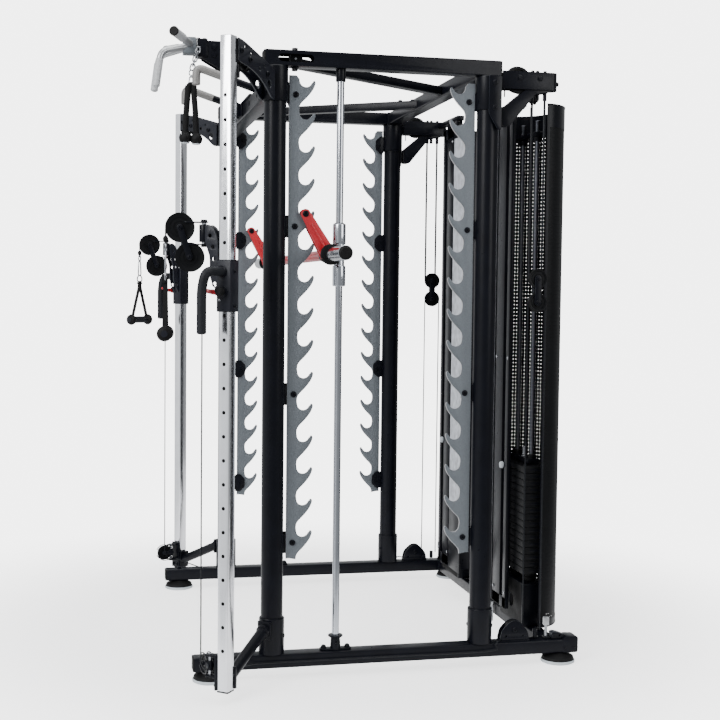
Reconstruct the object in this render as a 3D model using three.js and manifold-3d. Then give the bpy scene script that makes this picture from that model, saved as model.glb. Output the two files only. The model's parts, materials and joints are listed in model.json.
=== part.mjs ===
// Smith machine with two adjustable pulley columns, two weight stacks and four notched rack plates.
// Millimetres, +Z up. X runs across the machine, -Y is the front with the pulley columns and +Y the
// rear with the weight stacks. Everything is laid out about the middle of the four uprights, and
// the whole group is then shifted along Y so that the origin is under the middle of its box.
import * as THREE from "three";
import { mergeVertices } from "three/addons/utils/BufferGeometryUtils.js";
import Module from "manifold-3d";

const wasm = await Module();
wasm.setup();

// ---- driving dimensions ------------------------------------------------------------------------
const GAP = 0.3; // between pieces that touch
const FRAME_SHIFT_Y = 11.6; // brings the box's middle to Y = 0
const HALF_WIDTH = 693; // uprights, rails, rack plates and guide rods stand in this plane
const HALF_DEPTH = 377; // front and rear uprights from the middle
const UPRIGHT_R = 38;
const SLEEVE_R = 44;
const FOOT = { r: 62, neck: 24, front: -588, rear: 678 };
const BASE = { half: 30, low: 38, high: 87, front: -642, rear: 745 };
const TOP = { half: 30, low: 2098, high: 2150, front: -420, rear: 420 };
const LOW_SLEEVE_TOP = 213;
const HIGH_SLEEVE_LOW = 1979;
const REAR_BEAM = { front: 616, rear: 672 };

const NOTCH = { count: 15, pitch: 110.26, first: 489, out: 105, r: 21.5 };
const PLATE = { back: 52, neck: 84, tip: 133, tipRise: 11, half: 4, low: 415, high: 2070, boltOut: 70 };
const PLATE_BOLT_Z = [2006, 1560, 985, 470];

const ROD = { r: 12.5, y: -151 };
const BAR = { r: 14, sleeveR: 24.5, y: -190, z: 1465, half: 993, sleeveFrom: 760 };
const COLLAR = { length: 25, r: 36 };
const HOOK_NOTCH = 10; // the notch that the hooks rest in, counted from the lowest
const HOOK_PIN = { r: 9.5, out: 105, half: 19 };
const BEARING = { r: 22.5, length: 71.5, inner: 36 };

const COLUMN = { x: 941, y: -564, half: 20, wall: 2.5, low: 38, high: 2144, turn: (37 * Math.PI) / 180 };
const HOLE = { count: 24, pitch: 77.35, first: 176, r: 6 };
const CARRIAGE = { hole: 15, low: 1273, high: 1436, wall: 5, clear: 0.8 };
const SWIVEL = { out: 88, low: 1477, high: 1566, r: 8, bore: 8.6, turn: Math.PI / 6 };
const GRIP = { x: 97, y: -37, r: 15.5, top: 1400, low: 1206 };
const PULLEY = { r: 47.5, width: 14, axle: 6 };

const STACK = { x: 410, y: 640, halfX: 150, halfY: 55, plate: 24.6, gap: 0.7, count: 16, low: 293 };
const STACK_ROD = { r: 9, offset: 78, top: 1981, clear: 1.5 };
const SHROUD = { halfX: 186, depth: 120, wall: 2.5, low: 100, high: 2028, y: 637 };
const COVER = { y: 553, thick: 2.5, low: 140, high: 2050, tie: 40 };
const COVER_PANELS = [[137, 297], [308, 395], [425, 460]]; // a placard, then both sides of the pin slot
const KNOB = { r: 13, front: 540, rear: 562 };
const REAR_PULLEY = { y: 504, z: 128, r: 32, halfWidth: 7 };
const AXLE_R = 8;
const FRONT_PULLEY = { out: 62, z: 130, r: 28 };
const CABLE_R = 2.4;
const BLOCK = { y: 574, z: 1350, r: 35, spread: 42 };

// ---- helpers -----------------------------------------------------------------------------------
const ROUND = 14;

function solid(geometry) {
  const bare = geometry.index ? geometry.toNonIndexed() : geometry.clone();
  const plain = new THREE.BufferGeometry();
  plain.setAttribute("position", bare.getAttribute("position"));
  const merged = mergeVertices(plain, 1e-3);
  return new wasm.Manifold(
    new wasm.Mesh({
      numProp: 3,
      vertProperties: new Float32Array(merged.attributes.position.array),
      triVerts: new Uint32Array(merged.index.array),
    }),
  );
}

function geometryOf(made) {
  const mesh = made.getMesh();
  const geometry = new THREE.BufferGeometry();
  const step = mesh.numProp;
  const xyz = new Float32Array(mesh.numVert * 3);
  for (let i = 0; i < mesh.numVert; i++) {
    xyz.set(mesh.vertProperties.subarray(i * step, i * step + 3), i * 3);
  }
  geometry.setAttribute("position", new THREE.BufferAttribute(xyz, 3));
  geometry.setIndex(new THREE.BufferAttribute(mesh.triVerts.slice(), 1));
  geometry.computeVertexNormals();
  return geometry;
}

const join = (...pieces) => pieces.flat().reduce((a, b) => a.add(b));
const cut = (body, ...tools) => tools.flat().reduce((a, b) => a.subtract(b), body);
const at = (x, y, z) => new THREE.Vector3(x, y, z);

function box(x0, x1, y0, y1, z0, z1) {
  const g = new THREE.BoxGeometry(x1 - x0, y1 - y0, z1 - z0);
  return solid(g.translate((x0 + x1) / 2, (y0 + y1) / 2, (z0 + z1) / 2));
}

// A round bar from one point to another.
function bar(from, to, r, sides = ROUND) {
  const along = to.clone().sub(from);
  const g = new THREE.CylinderGeometry(r, r, along.length(), sides);
  const turn = new THREE.Quaternion().setFromUnitVectors(at(0, 1, 0), along.normalize());
  g.applyQuaternion(turn);
  return solid(g.translate(...from.clone().add(to).multiplyScalar(0.5).toArray()));
}

const post = (x, y, z0, z1, r, sides) => bar(at(x, y, z0), at(x, y, z1), r, sides);
const across = (x0, x1, y, z, r, sides) => bar(at(x0, y, z), at(x1, y, z), r, sides);

// An outline in Y and Z, thick in X.
function slabX(shape, x0, x1, curveSegments = 4) {
  const g = new THREE.ExtrudeGeometry(shape, { depth: x1 - x0, bevelEnabled: false, curveSegments });
  g.applyMatrix4(new THREE.Matrix4().set(0, 0, 1, x0, 1, 0, 0, 0, 0, 1, 0, 0, 0, 0, 0, 1));
  return solid(g);
}

// An outline in X and Y, thick in Z.
function slabZ(shape, z0, z1, curveSegments = 12) {
  const g = new THREE.ExtrudeGeometry(shape, { depth: z1 - z0, bevelEnabled: false, curveSegments });
  return solid(g.translate(0, 0, z0));
}

// A path through its points one by one, so that straight runs take no extra steps.
class Route extends THREE.Curve {
  constructor(points) {
    super();
    this.points = points;
  }
  getPoint(t) {
    const place = t * (this.points.length - 1);
    const i = Math.min(Math.floor(place), this.points.length - 2);
    return this.points[i].clone().lerp(this.points[i + 1], place - i);
  }
  getPointAt(t) {
    return this.getPoint(t);
  }
  getTangentAt(t) {
    return this.getTangent(t);
  }
}

// A tube of round section through a list of points.
function tube(points, r, sides = 10) {
  const ring = new THREE.Shape();
  ring.absarc(0, 0, r, 0, 2 * Math.PI, false);
  return solid(
    new THREE.ExtrudeGeometry(ring, {
      extrudePath: new Route(points),
      steps: points.length - 1,
      curveSegments: sides / 2,
      bevelEnabled: false,
    }),
  );
}

// The points of a path of straight runs with its corners rounded.
function rounded(points, radius, stepsPerCorner = 4) {
  const path = [points[0]];
  for (let i = 1; i < points.length - 1; i++) {
    const back = points[i - 1].clone().sub(points[i]);
    const on = points[i + 1].clone().sub(points[i]);
    const trim = Math.min(radius, back.length() / 2.1, on.length() / 2.1);
    const before = points[i].clone().add(back.setLength(trim));
    const after = points[i].clone().add(on.setLength(trim));
    path.push(...new THREE.QuadraticBezierCurve3(before, points[i], after).getPoints(stepsPerCorner));
  }
  path.push(points[points.length - 1]);
  return path;
}

// ---- materials ---------------------------------------------------------------------------------
const paint = (color, roughness, metalness) =>
  new THREE.MeshStandardMaterial({ color, roughness, metalness });
const BLACK = paint(0x15161a, 0.45, 0.3);
const SILVER = paint(0x8a8f96, 0.5, 0.5);
const CHROME = paint(0xd7dade, 0.12, 1);
const RED = paint(0xb01824, 0.4, 0.2);
const RUBBER = paint(0x101113, 0.85, 0);
const NYLON = paint(0x121317, 0.55, 0);
const IRON = paint(0x202226, 0.6, 0.4);
const STEEL = paint(0x9aa0a6, 0.3, 0.9);

const machine = new THREE.Group();
machine.position.y = FRAME_SHIFT_Y;

function add(name, made, material, left = false) {
  const mesh = new THREE.Mesh(geometryOf(made), material);
  mesh.name = name;
  if (left) mesh.scale.x = -1;
  machine.add(mesh);
}

// The right-hand piece as built, and the left-hand one as its mirror image.
function pair(name, made, material) {
  add(name + "_right", made, material);
  add(name + "_left", made, material, true);
}

// ---- base, uprights and top --------------------------------------------------------------------
function baseRail() {
  const { half, low, high, front, rear } = BASE;
  const rail = box(HALF_WIDTH - half, HALF_WIDTH + half, front, rear, low, high);
  const feet = [FOOT.front, FOOT.rear].flatMap((y) => [
    post(HALF_WIDTH, y, 0, low - GAP, FOOT.r, 10),
    post(HALF_WIDTH, y, low - 2, low + 1, FOOT.neck, 8),
  ]);
  const { y, z, r, halfWidth } = REAR_PULLEY;
  const cheeks = [-17, 13].map((x) =>
    box(HALF_WIDTH + x, HALF_WIDTH + x + 4, y - 26, y + 42, high - 1, z + 22),
  );
  const wheel = across(HALF_WIDTH - halfWidth, HALF_WIDTH + halfWidth, y, z, r, 12);
  const axle = across(HALF_WIDTH - 22, HALF_WIDTH + 22, y, z, AXLE_R, 8);
  return join(rail, feet, cheeks, wheel, axle);
}

function upright(y) {
  const tubePiece = post(HALF_WIDTH, y, BASE.high + GAP, TOP.low - GAP, UPRIGHT_R, 12);
  const low = post(HALF_WIDTH, y, BASE.high + GAP, LOW_SLEEVE_TOP, SLEEVE_R, 12);
  const high = post(HALF_WIDTH, y, HIGH_SLEEVE_LOW, TOP.low - GAP, SLEEVE_R, 12);
  return join(tubePiece, low, high);
}

// The top rail has a slot for the front pulley, and a strap at its rear end around the large pulley.
function topRail() {
  const rail = box(HALF_WIDTH - TOP.half, HALF_WIDTH + TOP.half, TOP.front, TOP.rear, TOP.low, TOP.high);
  const side = TOP.half + 1;
  const slot = box(HALF_WIDTH - side, HALF_WIDTH + side, -370, -249, TOP.low + 12, TOP.high - 12);
  const wheel = across(HALF_WIDTH - 10, HALF_WIDTH + 10, -311, (TOP.low + TOP.high) / 2, 24, 12);
  const axle = post(HALF_WIDTH, -311, TOP.low - 14, TOP.high + 12, 8, 8);
  return join(cut(rail, slot), wheel, axle, rearStrap());
}

function rearStrap() {
  const y0 = TOP.rear + 2;
  const outer = new THREE.Shape();
  outer.moveTo(y0, TOP.low - 40);
  outer.lineTo(y0, TOP.high - 16);
  outer.lineTo(600, TOP.high - 32);
  outer.absarc(600, 2092, 26, Math.PI / 2, -Math.PI / 2, true);
  outer.lineTo(540, 2058);
  outer.lineTo(455, 1930);
  outer.lineTo(y0, 1930);
  const cheek = (x) => slabX(outer, x - 3, x + 3);
  const spacer = across(HALF_WIDTH - 20, HALF_WIDTH + 20, 602, 2092, 9, 10);
  const back = box(HALF_WIDTH - 20, HALF_WIDTH + 20, y0, y0 + 6, 1932, TOP.high - 18);
  const root = box(HALF_WIDTH - 20, HALF_WIDTH + 20, TOP.rear - 1, y0 + 1, TOP.low + 2, TOP.high - 18);
  const wheel = across(HALF_WIDTH - 8, HALF_WIDTH + 8, 485, 2091, 46, 12);
  const axle = across(HALF_WIDTH - 26, HALF_WIDTH + 26, 485, 2091, 9, 8);
  return join(cheek(HALF_WIDTH - 20), cheek(HALF_WIDTH + 20), spacer, back, root, wheel, axle);
}

const crossBeam = (half, y0, y1, z0, z1) => box(-half, half, y0, y1, z0, z1);

// The diagonal from the front upright's top to the rear beam.
function topBrace() {
  const rear = HALF_DEPTH - 30 - GAP;
  const line = new THREE.Shape();
  const from = [HALF_WIDTH - TOP.half - GAP, -HALF_DEPTH + 10];
  line.moveTo(from[0], from[1]);
  line.lineTo(from[0], from[1] + 70);
  line.lineTo(215, rear);
  line.lineTo(160, rear);
  return slabZ(line, TOP.low + 6, TOP.high - 14);
}

// ---- rack plates -------------------------------------------------------------------------------
// One side of the plate is straight, the other carries the open notches. d is measured from the
// upright's axis towards the middle of the cage.
function rackPlate(front) {
  const y = (d) => (front ? -HALF_DEPTH + d : HALF_DEPTH - d);
  const shape = new THREE.Shape();
  shape.moveTo(y(PLATE.back), PLATE.low);
  shape.lineTo(y(PLATE.neck - 22), PLATE.low);
  for (let i = 0; i < NOTCH.count; i++) {
    const z = NOTCH.first + i * NOTCH.pitch;
    shape.lineTo(y(PLATE.neck - 2), z - 72);
    shape.lineTo(y(PLATE.neck + 4), z - 58);
    shape.lineTo(y(PLATE.tip + 1), z - 4);
    shape.lineTo(y(PLATE.tip + 1), z + PLATE.tipRise);
    shape.lineTo(y(PLATE.tip - 6), z + PLATE.tipRise);
    for (const angle of [-40, -90, -140]) {
      const a = (angle * Math.PI) / 180;
      shape.lineTo(y(NOTCH.out + NOTCH.r * Math.cos(a)), z + NOTCH.r + NOTCH.r * Math.sin(a));
    }
    shape.lineTo(y(PLATE.neck - 1), z + NOTCH.r);
  }
  shape.lineTo(y(PLATE.neck - 12), PLATE.high);
  shape.lineTo(y(PLATE.back), PLATE.high);
  return slabX(shape, HALF_WIDTH - PLATE.half, HALF_WIDTH + PLATE.half);
}

// Half-octagon tabs that hold the plate to the upright, with their bolts.
function rackTabs(front) {
  const y = (d) => (front ? -HALF_DEPTH + d : HALF_DEPTH - d);
  const inner = HALF_WIDTH - PLATE.half;
  return PLATE_BOLT_Z.map((z) => {
    const start = (z + 38 > HIGH_SLEEVE_LOW ? SLEEVE_R : UPRIGHT_R) + 2 * GAP;
    const shape = new THREE.Shape();
    shape.moveTo(y(start), z - 38);
    shape.lineTo(y(62), z - 38);
    shape.lineTo(y(81), z - 19);
    shape.lineTo(y(81), z + 19);
    shape.lineTo(y(62), z + 38);
    shape.lineTo(y(start), z + 38);
    const tab = slabX(shape, inner - 8, inner + 0.5);
    const head = across(inner - 14, HALF_WIDTH + PLATE.half + 6, y(PLATE.boltOut), z, 10.5, 8);
    return join(tab, head);
  });
}

const rack = (front) => join(rackPlate(front), rackTabs(front));

function guideRod() {
  const rod = post(HALF_WIDTH, ROD.y, BASE.high + GAP, TOP.low - GAP, ROD.r, 12);
  const socket = post(HALF_WIDTH, ROD.y, 2056, TOP.low - GAP, 17, 12);
  const flange = post(HALF_WIDTH, ROD.y, BASE.high + GAP, 96, 27, 12);
  const collar = post(HALF_WIDTH, ROD.y, BASE.high + GAP, 134, 18, 12);
  return join(rod, socket, flange, collar);
}

// ---- pulley columns ----------------------------------------------------------------------------
// Pieces on a column are built about its own axis, with +X through the holes away from the machine
// and -Y towards the swivel, and are then turned and moved into place.
function onColumn(made) {
  const g = geometryOf(made);
  g.rotateZ(-COLUMN.turn);
  return solid(g.translate(COLUMN.x, COLUMN.y, 0));
}

const holeZ = (i) => HOLE.first + HOLE.pitch * i;

function column() {
  const h = COLUMN.half;
  const inner = h - COLUMN.wall;
  const outside = box(-h, h, -h, h, COLUMN.low, COLUMN.high);
  const inside = box(-inner, inner, -inner, inner, COLUMN.low + 6, COLUMN.high - 6);
  const holes = [];
  for (let i = 0; i < HOLE.count; i++) holes.push(across(0, h + 1, 0, holeZ(i), HOLE.r, 6));
  return cut(outside, inside, holes);
}

// Two curved side plates from the upright to the column's top, with the pulley between them.
function columnHead() {
  const h = COLUMN.half + GAP;
  const reach = -(311 - SLEEVE_R - 4);
  const shape = new THREE.Shape();
  shape.moveTo(-h, COLUMN.high - 6);
  shape.lineTo(-70, COLUMN.high - 14);
  shape.lineTo(-120, COLUMN.high - 30);
  shape.lineTo(-180, COLUMN.high - 46);
  shape.lineTo(reach, COLUMN.high - 66);
  shape.lineTo(reach, COLUMN.high - 168);
  shape.lineTo(-200, COLUMN.high - 150);
  shape.lineTo(-120, COLUMN.high - 104);
  shape.lineTo(-60, COLUMN.high - 84);
  shape.lineTo(-h, COLUMN.high - 78);
  const flat = new THREE.ExtrudeGeometry(shape, { depth: 6, bevelEnabled: false });
  flat.applyMatrix4(new THREE.Matrix4().set(1, 0, 0, 0, 0, 0, 1, 0, 0, 1, 0, 0, 0, 0, 0, 1));
  flat.index = null;
  const side = (y) => solidFlipped(flat.clone().translate(0, y, 0));
  const axle = bar(at(-62, -26, 2092), at(-62, 26, 2092), 9, 10);
  const wheel = bar(at(-62, -8, 2092), at(-62, 8, 2092), 34, 12);
  const end = box(reach - 0.1, reach + 5, -26, 26, COLUMN.high - 168, COLUMN.high - 70);
  const lug = box(-h - 5, -h, -26, 26, COLUMN.high - 76, COLUMN.high - 8);
  return join(side(-26), side(20), axle, wheel, end, lug);
}

// The swap of Y and Z mirrors a solid, so its faces are turned round.
function solidFlipped(geometry) {
  const p = geometry.getAttribute("position");
  for (let i = 0; i < p.count; i += 3) {
    const [x, y, z] = [p.getX(i + 1), p.getY(i + 1), p.getZ(i + 1)];
    p.setXYZ(i + 1, p.getX(i + 2), p.getY(i + 2), p.getZ(i + 2));
    p.setXYZ(i + 2, x, y, z);
  }
  return solid(geometry);
}

// The lower arm from the upright's sleeve to the column's foot bracket, with the front base pulley.
function columnFoot() {
  const h = COLUMN.half + GAP;
  const reach = -(311 - SLEEVE_R - 4);
  const arm = bar(at(reach + 10, 0, 178), at(-h - 9, 0, 80), 17, 12);
  const bracket = box(-h - 12, -h, -24, 24, 44, 116);
  const front = box(-24, 24, -h - 9, -h, 44, 160);
  const pad = box(reach, reach + 8, -24, 24, 150, 205);
  const { out, z, r } = FRONT_PULLEY;
  const cheeks = [-14, 11].map((x) => box(x, x + 3, -out - 16, -h - 8, z - 26, z + 26));
  const wheel = across(-7, 7, -out, z, r, 12);
  const axle = across(-18, 18, -out, z, 8, 8);
  return join(arm, bracket, front, pad, cheeks, wheel, axle);
}

// ---- carriage on the column --------------------------------------------------------------------
const CARRIAGE_OUTER = COLUMN.half + CARRIAGE.clear + CARRIAGE.wall;

// The square sleeve with the boss that holds the locking pin.
function carriageSleeve() {
  const inner = COLUMN.half + CARRIAGE.clear;
  const outer = CARRIAGE_OUTER;
  const { low, high } = CARRIAGE;
  const z = holeZ(CARRIAGE.hole);
  return cut(
    join(box(-outer, outer, -outer, outer, low, high), across(outer - 1, outer + 12, 0, z, 14, 12)),
    box(-inner, inner, -inner, inner, low - 1, high + 1),
    across(0, outer + 20, 0, z, 6.4, 10),
  );
}

// The sleeve, two curved arms up to the swivel's bearing, and the hooked grip.
function carriage() {
  const outer = CARRIAGE_OUTER;
  const { low, high } = CARRIAGE;
  const rise = new THREE.Shape();
  rise.moveTo(-outer + 1, low + 60);
  rise.lineTo(-outer - 28, low + 110);
  rise.lineTo(-outer - 30, high);
  rise.quadraticCurveTo(-outer - 30, 1490, -SWIVEL.out + 4, 1500);
  rise.lineTo(-SWIVEL.out + 4, 1546);
  rise.quadraticCurveTo(-outer - 12, 1550, -outer - 4, 1490);
  rise.lineTo(-outer + 1, high);
  const web = slabX(rise, -15, -9);
  const flange = slabX(rise, 9, 15);
  const sleeveBoss = post(0, -SWIVEL.out, 1494, 1550, 15, 10);
  const strap = box(-15, 15, -outer - 9, -outer + 1, low + 70, high - 2);
  const { x, y, r, top, low: end } = GRIP;
  const bend = [at(outer - 2, y + 31, top), at(x, y + 15, top), at(x, y, top - 54), at(x, y, end)];
  const made = join(carriageSleeve(), web, flange, sleeveBoss, strap, tube(rounded(bend, 48), r, 10));
  return cut(made, post(0, -SWIVEL.out, 1400, 1600, SWIVEL.bore, 10));
}

function popPin() {
  const z = holeZ(CARRIAGE.hole);
  const outer = CARRIAGE_OUTER;
  const stem = across(COLUMN.half - 8, outer + 30, 0, z, 5, 8);
  const knob = across(outer + 12.5, outer + 36, 0, z, 13, 12);
  const bend = [at(outer + 26, -8, z), at(outer + 28, -40, z + 2), at(outer + 26, -66, z + 8)];
  return join(stem, knob, tube(rounded(bend, 18, 2), 5.5, 8));
}

// ---- swivel block with its two pulleys ---------------------------------------------------------
// Pieces on the swivel are built straight ahead of the column and turned outwards about its bolt.
function onSwivel(made) {
  const g = geometryOf(made);
  g.translate(0, SWIVEL.out, 0);
  g.rotateZ(SWIVEL.turn);
  return onColumn(solid(g.translate(0, -SWIVEL.out, 0)));
}

const PULLEY_AT = [
  { y: -SWIVEL.out - 77, z: 1540 },
  { y: -SWIVEL.out - 45, z: 1445 },
];

function swivelBlock() {
  const y = -SWIVEL.out;
  const stem = post(0, y, SWIVEL.low, SWIVEL.high, SWIVEL.r, 12);
  const caps = [1483, 1560].map((z) => post(0, y, z - 5, z + 5, 12, 8));
  const arms = [1488, 1553].map((z) => box(-14, 14, y - 22, y - 4, z, z + 4));
  const outline = new THREE.Shape();
  const [upper, lower] = PULLEY_AT;
  outline.absarc(upper.y, upper.z, 20, 0.55, Math.PI + 0.35, false);
  outline.absarc(lower.y, lower.z, 20, Math.PI + 0.35, 2 * Math.PI + 0.55, false);
  const cheeks = [-14, 11].flatMap((x) => [
    slabX(outline, x, x + 3, 3),
    box(x, x + 3, y - 70, y - 20, 1488, 1557),
  ]);
  const axles = PULLEY_AT.map((p) => across(-14, 14, p.y, p.z, PULLEY.axle, 8));
  return join(stem, caps, arms, cheeks, axles);
}

function pulleyWheel({ y, z }, halfWidth, r, bore) {
  const profile = [
    [bore, -halfWidth],
    [r, -halfWidth],
    [r - 5, -halfWidth * 0.35],
    [r - 5, halfWidth * 0.35],
    [r, halfWidth],
    [bore, halfWidth],
    [bore, -halfWidth],
  ].map(([a, b]) => new THREE.Vector2(a, b));
  const g = new THREE.LatheGeometry(profile, 22);
  g.rotateZ(-Math.PI / 2);
  return solid(g.translate(0, y, z));
}

// A hanging handle: snap hook, ring, strap loop and round grip.
function stirrup() {
  const y = PULLEY_AT[0].y - PULLEY.r + 2;
  const eye = post(0, y, 1395, 1500, 4.5, 8);
  const hook = box(-5, 5, y - 9, y + 9, 1370, 1402);
  const straps = new THREE.Shape();
  straps.moveTo(-12, 1372);
  straps.lineTo(12, 1372);
  straps.lineTo(62, 1215);
  straps.lineTo(52, 1215);
  straps.lineTo(6, 1352);
  straps.lineTo(-6, 1352);
  straps.lineTo(-52, 1215);
  straps.lineTo(-62, 1215);
  const flat = new THREE.ExtrudeGeometry(straps, { depth: 18, bevelEnabled: false });
  flat.rotateX(Math.PI / 2);
  const loop = solid(flat.translate(0, y + 9, 0));
  const grip = across(-68, 68, y, 1202, 17, 10);
  return join(eye, hook, loop, grip);
}

// ---- smith bar ---------------------------------------------------------------------------------
const hookZ = NOTCH.first + HOOK_NOTCH * NOTCH.pitch + HOOK_PIN.r + 2;
const hookY = -HALF_DEPTH + HOOK_PIN.out;

function bearing() {
  const z = BAR.z;
  const shell = [z + BEARING.inner, z - BEARING.inner - BEARING.length].map((low) =>
    post(HALF_WIDTH, ROD.y, low, low + BEARING.length, BEARING.r, 12),
  );
  const core = post(HALF_WIDTH, ROD.y, z - BEARING.inner, z + BEARING.inner, 18, 12);
  const clamp = box(HALF_WIDTH - 9, HALF_WIDTH + 9, BAR.y - 14, ROD.y, z - 34, z + 34);
  const bore = post(HALF_WIDTH, ROD.y, z - 200, z + 200, ROD.r + 0.5, 12);
  return cut(join(...shell, core, clamp), bore, across(0, BAR.half, BAR.y, z, BAR.r + 0.5, 12));
}

function smithBar() {
  const z = BAR.z;
  const shaft = across(-BAR.half + 4, BAR.half - 4, BAR.y, z, BAR.r, 12);
  const ends = [1, -1].map((s) => across(s * BAR.sleeveFrom, s * BAR.half, BAR.y, z, BAR.sleeveR, 12));
  const collars = [1, -1].map((s) =>
    across(s * (BAR.sleeveFrom - COLLAR.length), s * (BAR.sleeveFrom + 2), BAR.y, z, COLLAR.r, 12),
  );
  const redTube = across(-640, 640, BAR.y, z, 19, 12);
  return join(shaft, ...ends, ...collars, redTube);
}

// Two cheeks that straddle the rack plate, with the pin that rests in its notch.
function hookArm() {
  const outline = new THREE.Shape();
  const lean = Math.atan2(hookZ - BAR.z, hookY - BAR.y);
  outline.absarc(hookY, hookZ, 15, lean - Math.PI / 2, lean + Math.PI / 2, false);
  outline.absarc(BAR.y, BAR.z, 22, lean + Math.PI / 2, lean + 1.5 * Math.PI, false);
  const cheek = (x) => slabX(outline, x - 2.5, x + 2.5, 4);
  const pin = across(HALF_WIDTH - HOOK_PIN.half, HALF_WIDTH + HOOK_PIN.half, hookY, hookZ, HOOK_PIN.r, 10);
  const ring = across(HALF_WIDTH - 40, HALF_WIDTH - 18, BAR.y, BAR.z, 27, 12);
  const far = across(HALF_WIDTH + 18, HALF_WIDTH + 40, BAR.y, BAR.z, 27, 12);
  const made = join(cheek(HALF_WIDTH - 16), cheek(HALF_WIDTH + 16), pin, ring, far);
  return cut(made, across(HALF_WIDTH - 45, HALF_WIDTH + 45, BAR.y, BAR.z, BAR.r + GAP, 12));
}

// ---- weight stacks -----------------------------------------------------------------------------
const stackTop = STACK.low + STACK.count * (STACK.plate + STACK.gap);

function stackRods() {
  const { x, y } = STACK;
  const rods = [-1, 1].map((s) => post(x + s * STACK_ROD.offset, y, 90, STACK_ROD.top, STACK_ROD.r, 10));
  const foot = box(x - 130, x + 130, y - 45, y + 45, BASE.high + GAP, STACK.low - 40);
  const cushions = [-1, 1].map((s) =>
    post(x + s * STACK_ROD.offset, y, STACK.low - 41, STACK.low - GAP, 22, 12),
  );
  const bridge = box(x - 100, x + 100, y - 16, y + 16, 1925, 1937);
  return join(...rods, foot, ...cushions, bridge);
}

function plateBlock(low, high) {
  const { x, y, halfX, halfY } = STACK;
  return box(x - halfX, x + halfX, y - halfY, y + halfY, low, high);
}

const guideHoles = () =>
  [-1, 1].map((s) => {
    const x = STACK.x + s * STACK_ROD.offset;
    return post(x, STACK.y, 0, stackTop + 80, STACK_ROD.r + STACK_ROD.clear, 10);
  });

function lowerStack() {
  const { x, y } = STACK;
  const slot = post(x, y, 0, stackTop + 50, 14, 10);
  return cut(plateBlock(STACK.low, stackTop - STACK.plate - STACK.gap), ...guideHoles(), slot);
}

// The lifted plate with the stem that hangs down through the others.
function stackHead() {
  const { x, y } = STACK;
  const low = stackTop - STACK.plate;
  const plate = plateBlock(low, low + STACK.plate);
  const stem = post(x, y, low - 330, low + 1, 12, 10);
  const top = low + STACK.plate;
  const cap = box(x - 98, x + 98, y - 24, y + 24, top - 1, top + 22);
  const bolt = post(x, y, top, top + 60, 10, 8);
  const socket = bar(at(x, y - 80, low + 12), at(x, y, low + 12), 5.4, 8);
  return cut(join(plate, stem, cap, bolt), ...guideHoles(), socket);
}

function selectorPin() {
  const z = stackTop - STACK.plate + 12;
  const pin = bar(at(STACK.x, STACK.y - 6, z), at(STACK.x, KNOB.rear - 5, z), 4.8, 8);
  const knob = bar(at(STACK.x, KNOB.rear, z), at(STACK.x, KNOB.front, z), KNOB.r, 10);
  return join(pin, knob);
}

// A curved shell behind the stack, open to the front.
function shroud() {
  const { halfX, depth, wall, y } = SHROUD;
  const outline = new THREE.Shape();
  outline.absellipse(STACK.x, y, halfX, depth, 0, Math.PI, false, 0);
  outline.lineTo(STACK.x - halfX + wall, y);
  const hole = new THREE.EllipseCurve(STACK.x, y, halfX - wall, depth - wall, Math.PI, 0, true, 0);
  hole.getPoints(16).forEach((p) => outline.lineTo(p.x, p.y));
  return slabZ(outline, SHROUD.low, SHROUD.high, 16);
}

// A placard panel beside a front panel that has a slot for the selector pin, on ties behind them.
function stackCover() {
  const { y, thick, low, high, tie } = COVER;
  const panels = COVER_PANELS.map(([x0, x1]) => box(x0, x1, y, y + thick, low, high));
  const [first, last] = [COVER_PANELS[0][0], COVER_PANELS.at(-1)[1]];
  const ties = [low, high - tie].map((z) => box(first, last, y + thick - 0.5, y + 8, z, z + tie));
  const edge = STACK.x - SHROUD.halfX;
  const wall = box(edge, edge + thick, y + 1, SHROUD.y - GAP, low, SHROUD.high);
  return join(...panels, ...ties, wall);
}

// The hanging block with its two pulleys, one above the other.
function floatingBlock() {
  const { y, z, r, spread } = BLOCK;
  const wheels = [z + spread, z - spread].map((c) => across(HALF_WIDTH - 7, HALF_WIDTH + 7, y, c, r, 12));
  const reach = spread + 14;
  const cheeks = [-11, 8].map((x) =>
    box(HALF_WIDTH + x, HALF_WIDTH + x + 3, y - 12, y + 12, z - reach, z + reach),
  );
  const axles = [z + spread, z - spread].map((c) => across(HALF_WIDTH - 13, HALF_WIDTH + 13, y, c, 6, 8));
  return join(...wheels, ...cheeks, ...axles);
}

// ---- pull-up bar -------------------------------------------------------------------------------
const LEG = { x: 255, r: 14.5, bend: [[-362, 2080], [-604, 2158], [-604, 2092]] };

// A mast on the front beam with a clamp and two hooked grips, and a bent grip tube on either side.
function pullUpBar() {
  const legs = [1, -1].map((s) => {
    const line = LEG.bend.map(([y, z]) => at(s * LEG.x, y, z));
    return tube(rounded(line, 30, 3), LEG.r, 10);
  });
  const front = -HALF_DEPTH - 31 - GAP;
  const strip = box(-272, 272, front - 4, -350, 2060 + GAP, 2068);
  const lip = box(-60, 60, front - 4, front, 2012, 2062);
  const mast = new THREE.Shape();
  mast.moveTo(front - 3, 2012);
  mast.lineTo(-470, 2012);
  mast.lineTo(-480, 2186);
  mast.lineTo(-562, 2231);
  mast.lineTo(-562, 2300);
  mast.lineTo(-425, 2300);
  mast.lineTo(-425, 2068);
  mast.lineTo(front - 3, 2064);
  const boom = slabX(mast, -28, 28);
  const clampBlock = box(-34, 34, -632, -558, 2250, 2312);
  const grips = [1, -1].flatMap((s) => [
    bar(at(s * 20, -600, 2284), at(s * 200, -683, 2296), 18, 12),
    tube(rounded([at(s * 26, -620, 2276), at(s * 60, -718, 2242), at(s * 60, -739, 2113)], 34, 3), 12.5, 8),
  ]);
  return join(...legs, strip, lip, boom, clampBlock, ...grips);
}

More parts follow.
